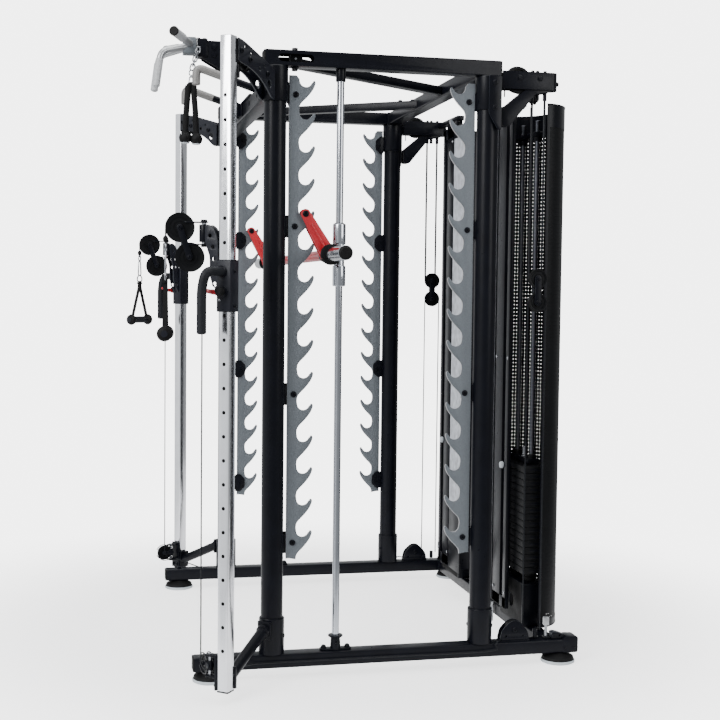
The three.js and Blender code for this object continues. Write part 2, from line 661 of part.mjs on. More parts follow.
// ---- cables ------------------------------------------------------------------------------------
// Down beside the column, round its foot pulley, along the base rail and round the rear pulley up to
// the hanging block.
function cable() {
  const beside = (y, z) => {
    const p = at(0, y, z).applyAxisAngle(at(0, 0, 1), -COLUMN.turn);
    return p.add(at(COLUMN.x, COLUMN.y, 0));
  };
  const { out, z, r } = FRONT_PULLEY;
  const reach = r + CABLE_R + 2;
  const outside = HALF_WIDTH + BASE.half + 12;
  const middle = (BASE.low + BASE.high) / 2;
  const rear = REAR_PULLEY;
  const rearReach = rear.r + CABLE_R + 2;
  const rearY = rear.y + rearReach;
  const round = [0, 0.25, 0.5, 0.75, 1].map((t) => (t * Math.PI) / 2);
  const route = [
    ...[1382, 700, z + 60].map((height) => beside(-out - reach, height)),
    ...round.map((a) => beside(-out - reach * Math.cos(a), z - reach * Math.sin(a))),
    beside(-out + 14, z - reach - 4),
    at(outside + 24, BASE.front + 130, middle + 4),
    at(outside, BASE.front + 220, middle),
    at(outside, 0, middle),
    at(outside, 395, middle),
    at(outside - 1, 424, 84),
    at(outside - 4, 434, 95),
    at(outside - 18, 448, 97),
    at(HALF_WIDTH + 3, 466, 93),
    ...round.map((a) => at(HALF_WIDTH, rear.y + rearReach * Math.sin(a), rear.z - rearReach * Math.cos(a))),
    ...[rear.z + 60, 700, BLOCK.z - 84].map((height) => at(HALF_WIDTH, rearY, height)),
  ];
  return tube(route, CABLE_R, 8);
}

// ---- assembly ----------------------------------------------------------------------------------
pair("base_rail", baseRail(), BLACK);
pair("upright_front", upright(-HALF_DEPTH), BLACK);
pair("upright_rear", upright(HALF_DEPTH), BLACK);
pair("top_rail", topRail(), BLACK);
pair("top_brace", topBrace(), BLACK);
pair("rack_plate_front", rack(true), SILVER);
pair("rack_plate_rear", rack(false), SILVER);
pair("guide_rod", guideRod(), CHROME);
pair("pulley_column", onColumn(column()), CHROME);
pair("column_head_bracket", onColumn(columnHead()), BLACK);
pair("column_foot_arm", onColumn(columnFoot()), BLACK);
const innerHalf = HALF_WIDTH - BASE.half - GAP;
add("rear_base_beam", crossBeam(innerHalf, REAR_BEAM.front, REAR_BEAM.rear, BASE.low, BASE.high), BLACK);
add("rear_top_beam", crossBeam(innerHalf, HALF_DEPTH - 30, HALF_DEPTH + 30, TOP.low, TOP.high), BLACK);
const frontHalf = HALF_WIDTH - SLEEVE_R - 1;
add("front_top_beam", crossBeam(frontHalf, -HALF_DEPTH - 31, -HALF_DEPTH + 31, 2005, 2060), BLACK);
add("pull_up_bar", pullUpBar(), SILVER);
pair("stack_rods", stackRods(), CHROME);
pair("lower_stack", lowerStack(), IRON);
pair("stack_shroud", shroud(), BLACK);
pair("stack_cover", stackCover(), BLACK);

pair("cable", cable(), STEEL);

pair("bar_bearing", bearing(), CHROME);
add("smith_bar", smithBar(), CHROME);
pair("hook_arm", hookArm(), RED);
pair("carriage", onColumn(carriage()), BLACK);
pair("pop_pin", onColumn(popPin()), RED);
pair("swivel_block", onSwivel(swivelBlock()), BLACK);
["upper", "lower"].forEach((name, i) => {
  const wheel = pulleyWheel(PULLEY_AT[i], PULLEY.width / 2, PULLEY.r, PULLEY.axle + GAP);
  pair("swivel_pulley_" + name, onSwivel(wheel), NYLON);
});
pair("handle", onSwivel(stirrup()), RUBBER);
pair("stack_head", stackHead(), IRON);
pair("selector_pin", selectorPin(), STEEL);
pair("floating_block", floatingBlock(), NYLON);

export default machine;
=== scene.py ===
# The looks of a smith machine with two pulley columns and two weight stacks, built around its CAD frame.
# Lengths are in millimetres in the design's own axes: X across the machine, Y from front to rear with
# 0 halfway between the uprights, Z up. Part.mesh() turns them into metres in the frame's axes.
import json
import math

import bmesh
import bpy
from mathutils import Matrix, Vector

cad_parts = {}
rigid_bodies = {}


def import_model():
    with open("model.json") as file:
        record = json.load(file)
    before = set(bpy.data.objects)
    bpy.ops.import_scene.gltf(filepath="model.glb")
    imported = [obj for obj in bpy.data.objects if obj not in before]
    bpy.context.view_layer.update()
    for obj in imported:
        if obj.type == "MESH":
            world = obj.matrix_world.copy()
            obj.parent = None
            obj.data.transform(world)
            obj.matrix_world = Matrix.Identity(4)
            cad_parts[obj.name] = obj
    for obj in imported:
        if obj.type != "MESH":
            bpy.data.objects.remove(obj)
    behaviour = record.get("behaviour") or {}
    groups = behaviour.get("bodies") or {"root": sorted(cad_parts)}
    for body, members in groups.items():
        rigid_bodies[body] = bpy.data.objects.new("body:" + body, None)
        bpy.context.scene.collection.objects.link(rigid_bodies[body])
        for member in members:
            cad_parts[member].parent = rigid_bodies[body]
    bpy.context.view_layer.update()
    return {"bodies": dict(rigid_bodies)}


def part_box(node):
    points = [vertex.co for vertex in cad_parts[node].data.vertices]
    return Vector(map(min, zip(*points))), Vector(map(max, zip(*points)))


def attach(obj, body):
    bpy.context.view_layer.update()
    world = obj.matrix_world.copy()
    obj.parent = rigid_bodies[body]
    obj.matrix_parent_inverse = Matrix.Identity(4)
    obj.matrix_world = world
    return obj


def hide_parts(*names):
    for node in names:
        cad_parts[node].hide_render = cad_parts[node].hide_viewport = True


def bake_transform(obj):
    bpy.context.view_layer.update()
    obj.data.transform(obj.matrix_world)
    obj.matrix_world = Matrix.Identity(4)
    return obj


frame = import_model()

MM = 0.001


# ---- sizes read from the frame ---------------------------------------------------------------------
def raw_box(node):
    low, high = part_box(node)
    return low / MM, high / MM


def raw_middle(node):
    low, high = raw_box(node)
    return (low + high) / 2


MID_Y = (raw_middle("upright_front_right").y + raw_middle("upright_rear_right").y) / 2
SHIFT = Vector((0, MID_Y, 0))


def box_of(node):
    low, high = raw_box(node)
    return low - SHIFT, high - SHIFT


def middle_of(node):
    low, high = box_of(node)
    return (low + high) / 2


WIDE = middle_of("upright_front_right").x  # uprights, rails and rack plates stand in this plane
DEEP = middle_of("upright_rear_right").y
BASE_LOW, BASE_HIGH = 38.0, box_of("upright_front_right")[0].z
TOP_LOW, TOP_HIGH = box_of("upright_front_right")[1].z, box_of("rear_top_beam")[1].z
ROD_Y = middle_of("guide_rod_right").y
BAR_Y, BAR_Z = middle_of("smith_bar").y, middle_of("smith_bar").z
COLUMN = middle_of("pulley_column_right")
COLUMN_TOP = box_of("pulley_column_right")[1].z
COLUMN_TURN = math.radians(37)
STACK_X = middle_of("stack_head_right").x
STACK_Y = 640.0
PLATE_COUNT, PLATE_PITCH, PLATE_THICK, STACK_LOW = 16, 25.3, 24.6, 293.0
SHEET_THICK = 2.5
STACK_TOP = STACK_LOW + PLATE_COUNT * PLATE_PITCH
NOTCHES, NOTCH_PITCH, NOTCH_FIRST, NOTCH_OUT, NOTCH_R = 15, 110.26, 489.0, 105.0, 21.5
HOLES, HOLE_PITCH, HOLE_FIRST = 24, 77.35, 176
CARRIAGE_Z = HOLE_FIRST + HOLE_PITCH * 15
ARM_REACH = -263.0  # from a column's axis to its upright's surface
SWIVEL_OUT, SWIVEL_LOW, SWIVEL_HIGH = -88, 1494, 1550
UPPER_WHEEL, LOWER_WHEEL = Vector((SWIVEL_OUT - 77, 1540)), Vector((SWIVEL_OUT - 45, 1445))
TOP_WHEEL_Y, TOP_WHEEL_Z, TOP_WHEEL_R = 485, 2091, 46
REAR_WHEEL_Y, REAR_WHEEL_Z, REAR_WHEEL_R = 504, 128, 32
ANCHOR_Y = 588
FOOT_WHEEL_OUT, FOOT_WHEEL_Z, FOOT_TURN_R = 62, 130, 28 + 4.4  # where the base cable turns at a column's foot
REAR_TURN_R = REAR_WHEEL_R + 4.4
GUIDE_OUT = 78  # a stack's guide rods stand this far from its middle
CABLE_R, THICK_CABLE_R = 2.4, 4.2
UPPER_SLEEVE_LOW = 1979  # an upright's upper sleeve starts here
BLOCK = middle_of("floating_block_right")
ALONG_X, ALONG_Y, UP, DOWN = (1, 0, 0), (0, 1, 0), (0, 0, 1), (0, 0, -1)


# ---- materials -------------------------------------------------------------------------------------
def new_node(tree, kind, inputs=None, **settings):
    """A shader node with constants on its sockets."""
    made = tree.nodes.new("ShaderNode" + kind)
    for socket, value in (inputs or {}).items():
        made.inputs[socket].default_value = value
    for setting, value in settings.items():
        setattr(made, setting, value)
    return made


def surface(name, color, roughness, metallic=0.0, vary=0.12, vary_size=0.06, grain=0.0008,
            bump=0.12, rough_vary=0.06, coat=0.0, shine=0.5, weave=None):
    """A finish with slow colour variation, a fine grain in its bump and slightly uneven gloss."""
    made = bpy.data.materials.new(name)
    made.use_nodes = True
    tree, join = made.node_tree, made.node_tree.links.new
    shader = tree.nodes["Principled BSDF"]
    for socket, value in (("Metallic", metallic), ("Coat Weight", coat), ("Specular IOR Level", shine)):
        shader.inputs[socket].default_value = value
    place = new_node(tree, "TexCoord").outputs["Object"]

    def pattern(size, detail):
        noise = new_node(tree, "TexNoise", {"Scale": 1 / size, "Detail": detail})
        join(place, noise.inputs["Vector"])
        return noise.outputs["Fac"]

    ramp = new_node(tree, "ValToRGB")
    for stop, position, factor in zip(ramp.color_ramp.elements, (0.3, 0.7), (1 - vary, 1 + vary)):
        stop.position = position
        stop.color = [min(1, c * factor) for c in color] + [1]
    join(pattern(vary_size, 4), ramp.inputs["Fac"])
    join(ramp.outputs["Color"], shader.inputs["Base Color"])
    spread = new_node(tree, "MapRange", {"To Min": roughness - rough_vary, "To Max": roughness + rough_vary})
    join(pattern(vary_size * 0.4, 3), spread.inputs["Value"])
    join(spread.outputs["Result"], shader.inputs["Roughness"])
    if weave:
        ribs = new_node(tree, "TexWave", {"Scale": 1 / weave}, bands_direction="DIAGONAL")
        join(place, ribs.inputs["Vector"])
        height = ribs.outputs["Fac"]
    else:
        height = pattern(grain, 2)
    relief = new_node(tree, "Bump", {"Strength": bump, "Distance": grain})
    join(height, relief.inputs["Height"])
    join(relief.outputs["Normal"], shader.inputs["Normal"])
    return made


BLACK = surface("black_coat", (0.003, 0.0035, 0.006), 0.3, vary=0.2, grain=0.0012, bump=0.1, shine=0.13)
SLATE = surface("slate_coat", (0.008, 0.009, 0.014), 0.38, vary=0.15, grain=0.0012, bump=0.12, shine=0.22)
SILVER = surface("silver_coat", (0.13, 0.145, 0.16), 0.5, 0.4, vary=0.12, vary_size=0.003,
                 grain=0.0016, bump=0.25, shine=0.4)
# The rack plates' side walls are lighter and more metallic: a painted highlight along the edges, partly worn
# metal.
EDGE_HIGHLIGHT_AND_WEAR = surface("painted_edge_highlight_and_wear", (0.5, 0.5, 0.51), 0.4, 0.7, vary=0.1, vary_size=0.01)
# Black and slate plates get lighter, bluish side walls: a painted highlight along the edges, partly wear.
DARK_EDGE_HIGHLIGHT_AND_WEAR = surface("painted_dark_edge_highlight_and_wear", (0.02, 0.023, 0.03), 0.4, vary=0.2, shine=0.3)
CHROME = surface("chrome", (0.47, 0.49, 0.53), 0.12, 1.0, vary=0.05, bump=0.02, rough_vary=0.04)
BRIGHT = surface("bright_chrome", (0.82, 0.83, 0.86), 0.16, 1.0, vary=0.05, bump=0.03, rough_vary=0.05)
ZINC = surface("zinc_plate", (0.33, 0.34, 0.36), 0.25, 1.0, vary=0.12, vary_size=0.01)
RED = surface("red_coat", (0.42, 0.012, 0.02), 0.33, vary=0.12, bump=0.1, coat=0.3)
NYLON = surface("black_nylon", (0.003, 0.0033, 0.004), 0.38, vary=0.2, vary_size=0.02, grain=0.0006,
                shine=0.13)
RUBBER = surface("black_rubber", (0.004, 0.004, 0.0045), 0.6, vary=0.2, grain=0.001, bump=0.25, shine=0.15)
FOAM = surface("foam_grip", (0.007, 0.008, 0.011), 0.55, vary=0.2, grain=0.0016, bump=0.4, shine=0.22)
WEB = surface("webbing", (0.004, 0.004, 0.0045), 0.7, vary=0.3, vary_size=0.004, bump=0.6, shine=0.15,
              weave=0.012)
PLATE = surface("weight_plate", (0.003, 0.0033, 0.004), 0.45, vary=0.25, vary_size=0.02, bump=0.25,
                shine=0.15)
CABLE = surface("cable_cover", (0.006, 0.007, 0.009), 0.4, vary=0.2, vary_size=0.01, shine=0.15)
SHEET = surface("perforated_steel", (0.003, 0.0033, 0.004), 0.45, vary=0.2, vary_size=0.05, shine=0.12)
RIM = surface("pale_rim", (0.45, 0.49, 0.52), 0.45, vary=0.08)
GRIP = surface("grey_grip", (0.42, 0.43, 0.44), 0.5, vary=0.1, vary_size=0.008, grain=0.0012, bump=0.3)
SLEEVE = surface("grey_sleeve", (0.17, 0.165, 0.16), 0.45, vary=0.1, vary_size=0.008, grain=0.0012,
                 bump=0.3)
DARK_ROD = surface("oiled_rod", (0.1, 0.105, 0.12), 0.3, 1.0, vary=0.1, vary_size=0.02)
DULL = surface("satin_silver", (0.4, 0.41, 0.42), 0.34, 0.7, vary=0.08)
SIGN = surface("placard", (0.5, 0.52, 0.56), 0.5, 0.2, vary=0.3, vary_size=0.03)
# Near-black paint for the column's holes and inside: painted shade.
PAINTED_SHADE_INSIDE = surface("painted_shade_inside", (0.003, 0.003, 0.0035), 0.8, vary=0.1, shine=0.1)


# ---- building shapes -------------------------------------------------------------------------------
def axes_along(direction):
    """A turn that takes +Z to the direction."""
    return Vector(direction).to_track_quat("Z", "Y").to_matrix().to_4x4()


def evaluated_mesh(holder):
    """The object's mesh with its modifiers or curve settings applied."""
    return bpy.data.meshes.new_from_object(holder.evaluated_get(bpy.context.evaluated_depsgraph_get()))


class Part:
    """Shapes gathered into one piece, each with its own material."""

    def __init__(self):
        self.points, self.faces, self.slots, self.used = [], [], [], []

    def take(self, points, faces, material):
        if material not in self.used:
            self.used.append(material)
        start = len(self.points)
        self.points += [Vector(p) for p in points]
        self.faces += [[start + i for i in face] for face in faces]
        self.slots += [self.used.index(material)] * len(faces)
        return self

    def take_bmesh(self, made, material):
        made.verts.index_update()
        self.take([v.co for v in made.verts], [[v.index for v in f.verts] for f in made.faces], material)
        made.free()
        return self

    def add(self, other, matrix=None):
        turn = matrix or Matrix.Identity(4)
        start = len(self.points)
        self.points += [turn @ p for p in other.points]
        flip = turn.determinant() < 0
        for face, slot in zip(other.faces, other.slots):
            material = other.used[slot]
            if material not in self.used:
                self.used.append(material)
            loop = [start + i for i in face]
            self.faces.append(loop[::-1] if flip else loop)
            self.slots.append(self.used.index(material))
        return self

    def box(self, x0, x1, y0, y1, z0, z1, material, bevel=1.5, segments=2):
        made = bmesh.new()
        bmesh.ops.create_cube(made, size=1)
        size = Matrix.Diagonal((x1 - x0, y1 - y0, z1 - z0, 1))
        middle = Matrix.Translation(((x0 + x1) / 2, (y0 + y1) / 2, (z0 + z1) / 2))
        bmesh.ops.transform(made, matrix=middle @ size, verts=made.verts)
        if bevel:
            bmesh.ops.bevel(made, geom=made.edges[:], offset=bevel, segments=segments, profile=0.5,
                            affect="EDGES")
        return self.take_bmesh(made, material)

    def block(self, x, half_x, y, half_y, z0, z1, material, bevel=1.5, segments=2):
        """A box about an upright axis."""
        return self.box(x - half_x, x + half_x, y - half_y, y + half_y, z0, z1, material, bevel, segments)

    def lathe(self, profile, origin, direction, material, sides=40):
        """profile is (radius, height) pairs; a radius of 0 closes an end."""
        turn = Matrix.Translation(origin) @ axes_along(direction)
        rings, points = [], []
        for radius, height in profile:
            if radius < 1e-6:
                rings.append([len(points)] * sides)
                points.append(turn @ Vector((0, 0, height)))
                continue
            rings.append([len(points) + i for i in range(sides)])
            for i in range(sides):
                a = 2 * math.pi * i / sides
                points.append(turn @ Vector((radius * math.cos(a), radius * math.sin(a), height)))
        faces = []
        for low, high in zip(rings, rings[1:]):
            for i in range(sides):
                j = (i + 1) % sides
                face = [low[i], low[j], high[j], high[i]]
                face = [v for k, v in enumerate(face) if v not in face[:k]]
                if len(face) > 2:
                    faces.append(face)
        return self.take(points, faces, material)

    def rod(self, start, end, radius, material, sides=32, chamfer=1.0):
        along = Vector(end) - Vector(start)
        c = min(chamfer, radius * 0.45, along.length * 0.45)
        profile = [(0, 0), (radius - c, 0), (radius, c), (radius, along.length - c),
                   (radius - c, along.length), (0, along.length)]
        return self.lathe(profile, start, along, material, sides)

    def post(self, x, y, z0, z1, radius, material, sides=32, chamfer=1.0):
        return self.rod((x, y, z0), (x, y, z1), radius, material, sides, chamfer)

    def across(self, x0, x1, y, z, radius, material, sides=32, chamfer=1.0):
        return self.rod((x0, y, z), (x1, y, z), radius, material, sides, chamfer)

    def hex_bolt(self, at, direction, radius, height, material):
        d = Vector(direction).normalized()
        base = Vector(at)
        self.rod(base, base + d * height * 0.25, radius * 1.35, material, 24, 0.6)
        return self.rod(base + d * height * 0.2, base + d * height, radius, material, 6, 1.2)

    def dome_bolt(self, at, direction, radius, height, material):
        """A round-headed socket screw."""
        profile = [(0, 0), (radius, 0), (radius, height * 0.45), (radius * 0.8, height * 0.85),
                   (radius * 0.5, height), (radius * 0.42, height), (radius * 0.4, height * 0.5),
                   (0, height * 0.5)]
        return self.lathe(profile, at, direction, material, 24)

    def tube(self, path, radius, material, sides=14, closed=False):
        path = [Vector(p) for p in path]
        count = len(path)
        radii = radius if isinstance(radius, (list, tuple)) else [radius] * count
        tangents = []
        for i in range(count):
            before = path[i - 1] if i or closed else path[i]
            after = path[(i + 1) % count] if i < count - 1 or closed else path[i]
            tangents.append((after - before).normalized())
        side = tangents[0].orthogonal().normalized()
        points = []
        for p, t, r in zip(path, tangents, radii):
            side = (side - t * side.dot(t)).normalized()
            other = t.cross(side)
            for k in range(sides):
                a = 2 * math.pi * k / sides
                points.append(p + (side * math.cos(a) + other * math.sin(a)) * r)
        faces = []
        for i in range(count if closed else count - 1):
            low, high = i * sides, ((i + 1) % count) * sides
            for k in range(sides):
                n = (k + 1) % sides
                faces.append([low + k, low + n, high + n, high + k])
        if not closed:
            faces.append(list(range(sides))[::-1])
            faces.append([(count - 1) * sides + k for k in range(sides)])
        return self.take(points, faces, material)

    def strap(self, path, across, width, thick, material):
        """A flat band along a path; across is the direction of its width."""
        path = [Vector(p) for p in path]
        wide = Vector(across).normalized() * width / 2
        points, faces = [], []
        for i, p in enumerate(path):
            along = (path[min(i + 1, len(path) - 1)] - path[max(i - 1, 0)]).normalized()
            up = along.cross(wide).normalized() * thick / 2
            points += [p + wide + up, p - wide + up, p - wide - up, p + wide - up]
        for i in range(len(path) - 1):
            for k in range(4):
                n = (k + 1) % 4
                faces.append([i * 4 + k, i * 4 + n, i * 4 + 4 + n, i * 4 + 4 + k])
        last = (len(path) - 1) * 4
        faces += [[3, 2, 1, 0], [last, last + 1, last + 2, last + 3]]
        return self.take(points, faces, material)

    def plate(self, outline, holes, matrix, thick, material, edge=None, bevel=0.8):
        """A flat plate of that outline, in the matrix's XY plane and thick along its Z."""
        curve = bpy.data.curves.new("outline", "CURVE")
        curve.dimensions = "2D"
        curve.fill_mode = "BOTH"
        curve.extrude = thick / 2 - bevel
        curve.bevel_depth = bevel
        curve.bevel_resolution = 1
        curve.offset = -bevel
        for ring in [outline] + holes:
            spline = curve.splines.new("POLY")
            spline.points.add(len(ring) - 1)
            for point, (u, v) in zip(spline.points, ring):
                point.co = (u, v, 0, 1)
            spline.use_cyclic_u = True
        holder = shown("outline", curve)
        bpy.context.view_layer.update()
        flat = evaluated_mesh(holder)
        bpy.data.objects.remove(holder)
        made = bmesh.new()
        made.from_mesh(flat)
        bmesh.ops.remove_doubles(made, verts=made.verts, dist=1e-3)
        bmesh.ops.recalc_face_normals(made, faces=made.faces)
        rim = [abs(f.normal.z) < 0.5 for f in made.faces]
        start = len(self.faces)
        made.transform(matrix)
        if matrix.determinant() < 0:
            bmesh.ops.reverse_faces(made, faces=made.faces)
        self.take_bmesh(made, material)
        # The side walls take the edge material, lighter than the faces: a painted edge highlight, partly
        # wear.
        if edge:
            if edge not in self.used:
                self.used.append(edge)
            for k, is_rim in enumerate(rim):
                if is_rim:
                    self.slots[start + k] = self.used.index(edge)
        return self

    def mesh(self, name, mirrored=False):
        sign = -1 if mirrored else 1
        made = bpy.data.meshes.new(name)
        points = [((p.x * sign) * MM, (p.y + MID_Y) * MM, p.z * MM) for p in self.points]
        made.from_pydata(points, [], [f[::-1] if mirrored else f for f in self.faces])
        for material in self.used:
            made.materials.append(material)
        made.polygons.foreach_set("material_index", self.slots)
        made.polygons.foreach_set("use_smooth", [True] * len(made.polygons))
        made.validate()
        made.update()
        made.set_sharp_from_angle(angle=math.radians(32))
        return made


PLANE_YZ = Matrix(((0, 0, 1, 0), (1, 0, 0, 0), (0, 1, 0, 0), (0, 0, 0, 1)))  # u, v, w to Y, Z, X
PLANE_XZ = Matrix(((1, 0, 0, 0), (0, 0, -1, 0), (0, 1, 0, 0), (0, 0, 0, 1)))  # u, v, w to X, Z, -Y
ON_COLUMN = Matrix.Translation((COLUMN.x, COLUMN.y, 0)) @ Matrix.Rotation(-COLUMN_TURN, 4, "Z")


def at_x(x):
    return Matrix.Translation((x, 0, 0)) @ PLANE_YZ


def at_y(y):
    return Matrix.Translation((0, y, 0)) @ PLANE_XZ


def at_z(z):
    return Matrix.Translation((0, 0, z))


def circle(u, v, r, steps=20):
    turns = [2 * math.pi * i / steps for i in range(steps)]
    return [(u + r * math.cos(a), v + r * math.sin(a)) for a in turns]


def arc(u, v, r, start, end, steps=8):
    """Points on an arc, with angles in degrees."""
    angles = [math.radians(start + (end - start) * i / steps) for i in range(steps + 1)]
    return [(u + r * math.cos(a), v + r * math.sin(a)) for a in angles]


def stadium(u0, u1, v, r, steps=8):
    return arc(u0, v, r, 90, 270, steps) + arc(u1, v, r, -90, 90, steps)


def corner(before, here, after, radius, steps):
    """Points on a rounded corner between two straight runs."""
    back, on = before - here, after - here
    trim = min(radius, back.length / 2.1, on.length / 2.1)
    a, b = here + back.normalized() * trim, here + on.normalized() * trim
    times = [k / steps for k in range(steps + 1)]
    return [a * (1 - t) ** 2 + here * 2 * t * (1 - t) + b * t ** 2 for t in times]


def round_corners(points, radius, steps=5):
    """A closed outline with its corners rounded."""
    points = [Vector(p) for p in points]
    out = []
    for i, here in enumerate(points):
        out += [tuple(p) for p in corner(points[i - 1], here, points[(i + 1) % len(points)], radius, steps)]
    return out


def smooth(points, steps=6):
    """A curve through the points."""
    points = [Vector(p) for p in points]
    last = len(points) - 1
    out = []
    for i in range(last):
        a, b, c, d = (points[min(max(i + k, 0), last)] for k in (-1, 0, 1, 2))
        for k in range(steps):
            t = k / steps
            out.append(0.5 * ((2 * b) + (c - a) * t + (2 * a - 5 * b + 4 * c - d) * t ** 2
                              + (3 * b - a - 3 * c + d) * t ** 3))
    return out + [points[-1]]


def bent(points, radius, steps=6):
    """Straight runs with rounded corners."""
    points = [Vector(p) for p in points]
    out = [points[0]]
    for before, here, after in zip(points, points[1:], points[2:]):
        out += corner(before, here, after, radius, steps)
    return out + [points[-1]]


def shown(name, data):
    """A new object in the scene."""
    made = bpy.data.objects.new(name, data)
    bpy.context.scene.collection.objects.link(made)
    return made


def piece(name, part, body, slot, *nodes, mirrored=False):
    made = shown(name, part.mesh(name, mirrored))
    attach(made, body)
    if nodes:
        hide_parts(*nodes)


def pair(name, part, body, slot, *nodes):
    """The right-hand piece as built and the left-hand one as its mirror image."""
    for side, mirrored in (("right", False), ("left", True)):
        on = body if body in frame["bodies"] else f"{body}_{side}"
        piece(f"{name}_{side}", part, on, slot, *[f"{n}_{side}" for n in nodes], mirrored=mirrored)


# ---- repeated shapes -------------------------------------------------------------------------------
def wheel(part, middle, axis, radius, width, material=NYLON, hub=ZINC):
    """A grooved cable pulley with a stepped web and a hub with a bolt in it."""
    axis = Vector(axis).normalized()
    w = width / 2
    groove = radius - min(7, radius * 0.16)
    web = radius * 0.74
    core = radius * 0.3
    half = [(core * 0.35, w * 0.9), (core, w * 0.9), (core, w * 0.45), (web * 0.62, w * 0.45),
            (web * 0.66, w * 0.62), (web * 0.74, w * 0.62), (web * 0.78, w * 0.45), (web, w * 0.45),
            (web + 2, w * 0.92), (radius - 1, w), (radius, w * 0.85), (groove, w * 0.28)]
    profile = half + [(r, -h) for r, h in reversed(half)] + [half[0]]
    part.lathe(profile, middle, axis, material, 48)
    part.rod(Vector(middle) - axis * (w + 1), Vector(middle) + axis * (w + 1), core * 0.6, hub, 20, 0.8)


def ring_tube(part, middle, along, across, ends, wire):
    """A closed wire with a half circle at each end; ends are (reach, radius) pairs."""
    path = []
    for (reach, r), sign, start in zip(ends, (1, -1), (-90, 90)):
        for k in range(9):
            a = math.radians(start + 180 * k / 8)
            path.append(middle + along * (sign * reach + r * math.cos(a)) + across * (r * math.sin(a)))
    part.tube(path, wire, ZINC, 10, closed=True)


def link(part, middle, along, across, length, width, wire):
    """One oval chain link."""
    end = ((length - width) / 2, width / 2)
    ring_tube(part, Vector(middle), Vector(along).normalized(), Vector(across).normalized(), (end, end), wire)


def snap_hook(part, top, down, across, length):
    """A spring hook: an oval ring with a straight gate and a small swivel eye at its top."""
    down, across = Vector(down).normalized(), Vector(across).normalized()
    top = Vector(top)
    link(part, top + down * 9, down, across, 20, 15, 2.6)
    part.rod(top + down * 16, top + down * 24, 5.4, ZINC, 20)
    body = (length - 26) / 2
    ring_tube(part, top + down * (24 + body), down, across, ((body - 9, 9), (body - 6.5, 6.5)), 2.9)


def handle_part(turn):
    """Cable end, snap hook, ring, strap loop and grip, hung on the upper pulley's cable."""
    cable_out, hang = -210.5, Part()
    hang.lathe([(0, 0), (5, 1), (8, 6), (9, 12), (8, 18), (4, 23), (0, 23)], (0, 0, 1490), UP, RUBBER)
    hang.post(0, 0, 1482, 1494, 4, ZINC, 16)
    hang.post(0, 0, 1512, 1534, 2.4, CABLE, 12, 0.3)
    snap_hook(hang, (0, 0, 1488), DOWN, ALONG_X, 90)
    hang.tube([(u, 0, v) for u, v in circle(0, 1384, 16, 24)], 2.9, ZINC, 10, closed=True)
    for side in (1, -1):
        path = bent([(side * 2, 0, 1374), (side * 4, 0, 1346), (side * 50, 0, 1208)], 20, 5)
        hang.strap(path, ALONG_Y, 15, 3.4, WEB)
    hang.strap([(0, 0, 1376), (0, 0, 1350), (0, 0, 1330)], ALONG_Y, 15, 9, WEB)
    hang.strap(bent([(-9, 0, 1362), (0, 0, 1375), (9, 0, 1362)], 6), ALONG_Y, 15, 6, WEB)
    grip_z = 1200
    hang.across(-48, 48, 0, grip_z, 15, FOAM, 32, 2)
    cap = [(0, 0), (14, 0), (22, 5), (24.5, 14), (22, 21), (14, 26), (0, 27)]
    disc = [(9, 26.5), (11, 27), (11, 28.2), (0, 28.6)]
    for side in (1, -1):
        hang.lathe(cap, (side * 43, 0, grip_z), (side, 0, 0), RUBBER, 32)
        hang.lathe(disc, (side * 43, 0, grip_z), (side, 0, 0), SLATE, 24)
    spin = Matrix.Translation((0, cable_out, 0)) @ Matrix.Rotation(math.radians(turn), 4, "Z")
    return Part().add(hang, ON_SWIVEL @ spin)


# ---- base, uprights and top ------------------------------------------------------------------------
def base_rail():
    """The tube on the floor's feet, its end caps and its rear pulley."""
    part = Part()
    low, high = box_of("base_rail_right")
    front, rear = low.y, high.y
    part.box(WIDE - 30, WIDE + 30, front + 3, rear - 16, BASE_LOW, BASE_HIGH - 0.3, BLACK, 6, 4)
    part.box(WIDE - 28.5, WIDE + 28.5, front, front + 5, BASE_LOW + 1.5, BASE_HIGH - 1.8, RUBBER, 2.2, 3)
    cap = round_corners([(rear - 60, BASE_LOW - 0.5), (rear, BASE_LOW - 0.5), (rear, BASE_HIGH + 9),
                         (rear - 40, BASE_HIGH + 12), (rear - 60, BASE_HIGH + 2)], 9)
    part.plate(cap, [], at_x(WIDE), 61, BLACK, bevel=3)
    for y in (rear - 16, rear - 52):
        part.dome_bolt((WIDE + 30.5, y, 58), ALONG_X, 5, 2.5, BLACK)
    foot = [(0, 0), (57, 0), (61.5, 2.5), (62, 8), (60, 12)]
    pad = [(60, 12), (58, 15), (56, 22), (44, 30), (30, 34), (24, 38.5), (0, 38.5)]
    for y in (-588, 678):
        part.lathe(foot, (WIDE, y, 0), UP, RIM, 48)
        part.lathe(pad, (WIDE, y, 0), UP, RUBBER, 48)
        part.hex_bolt((WIDE, y, BASE_HIGH - 0.3), UP, 9, 8, BLACK)
    rear_pulley(part)
    return part


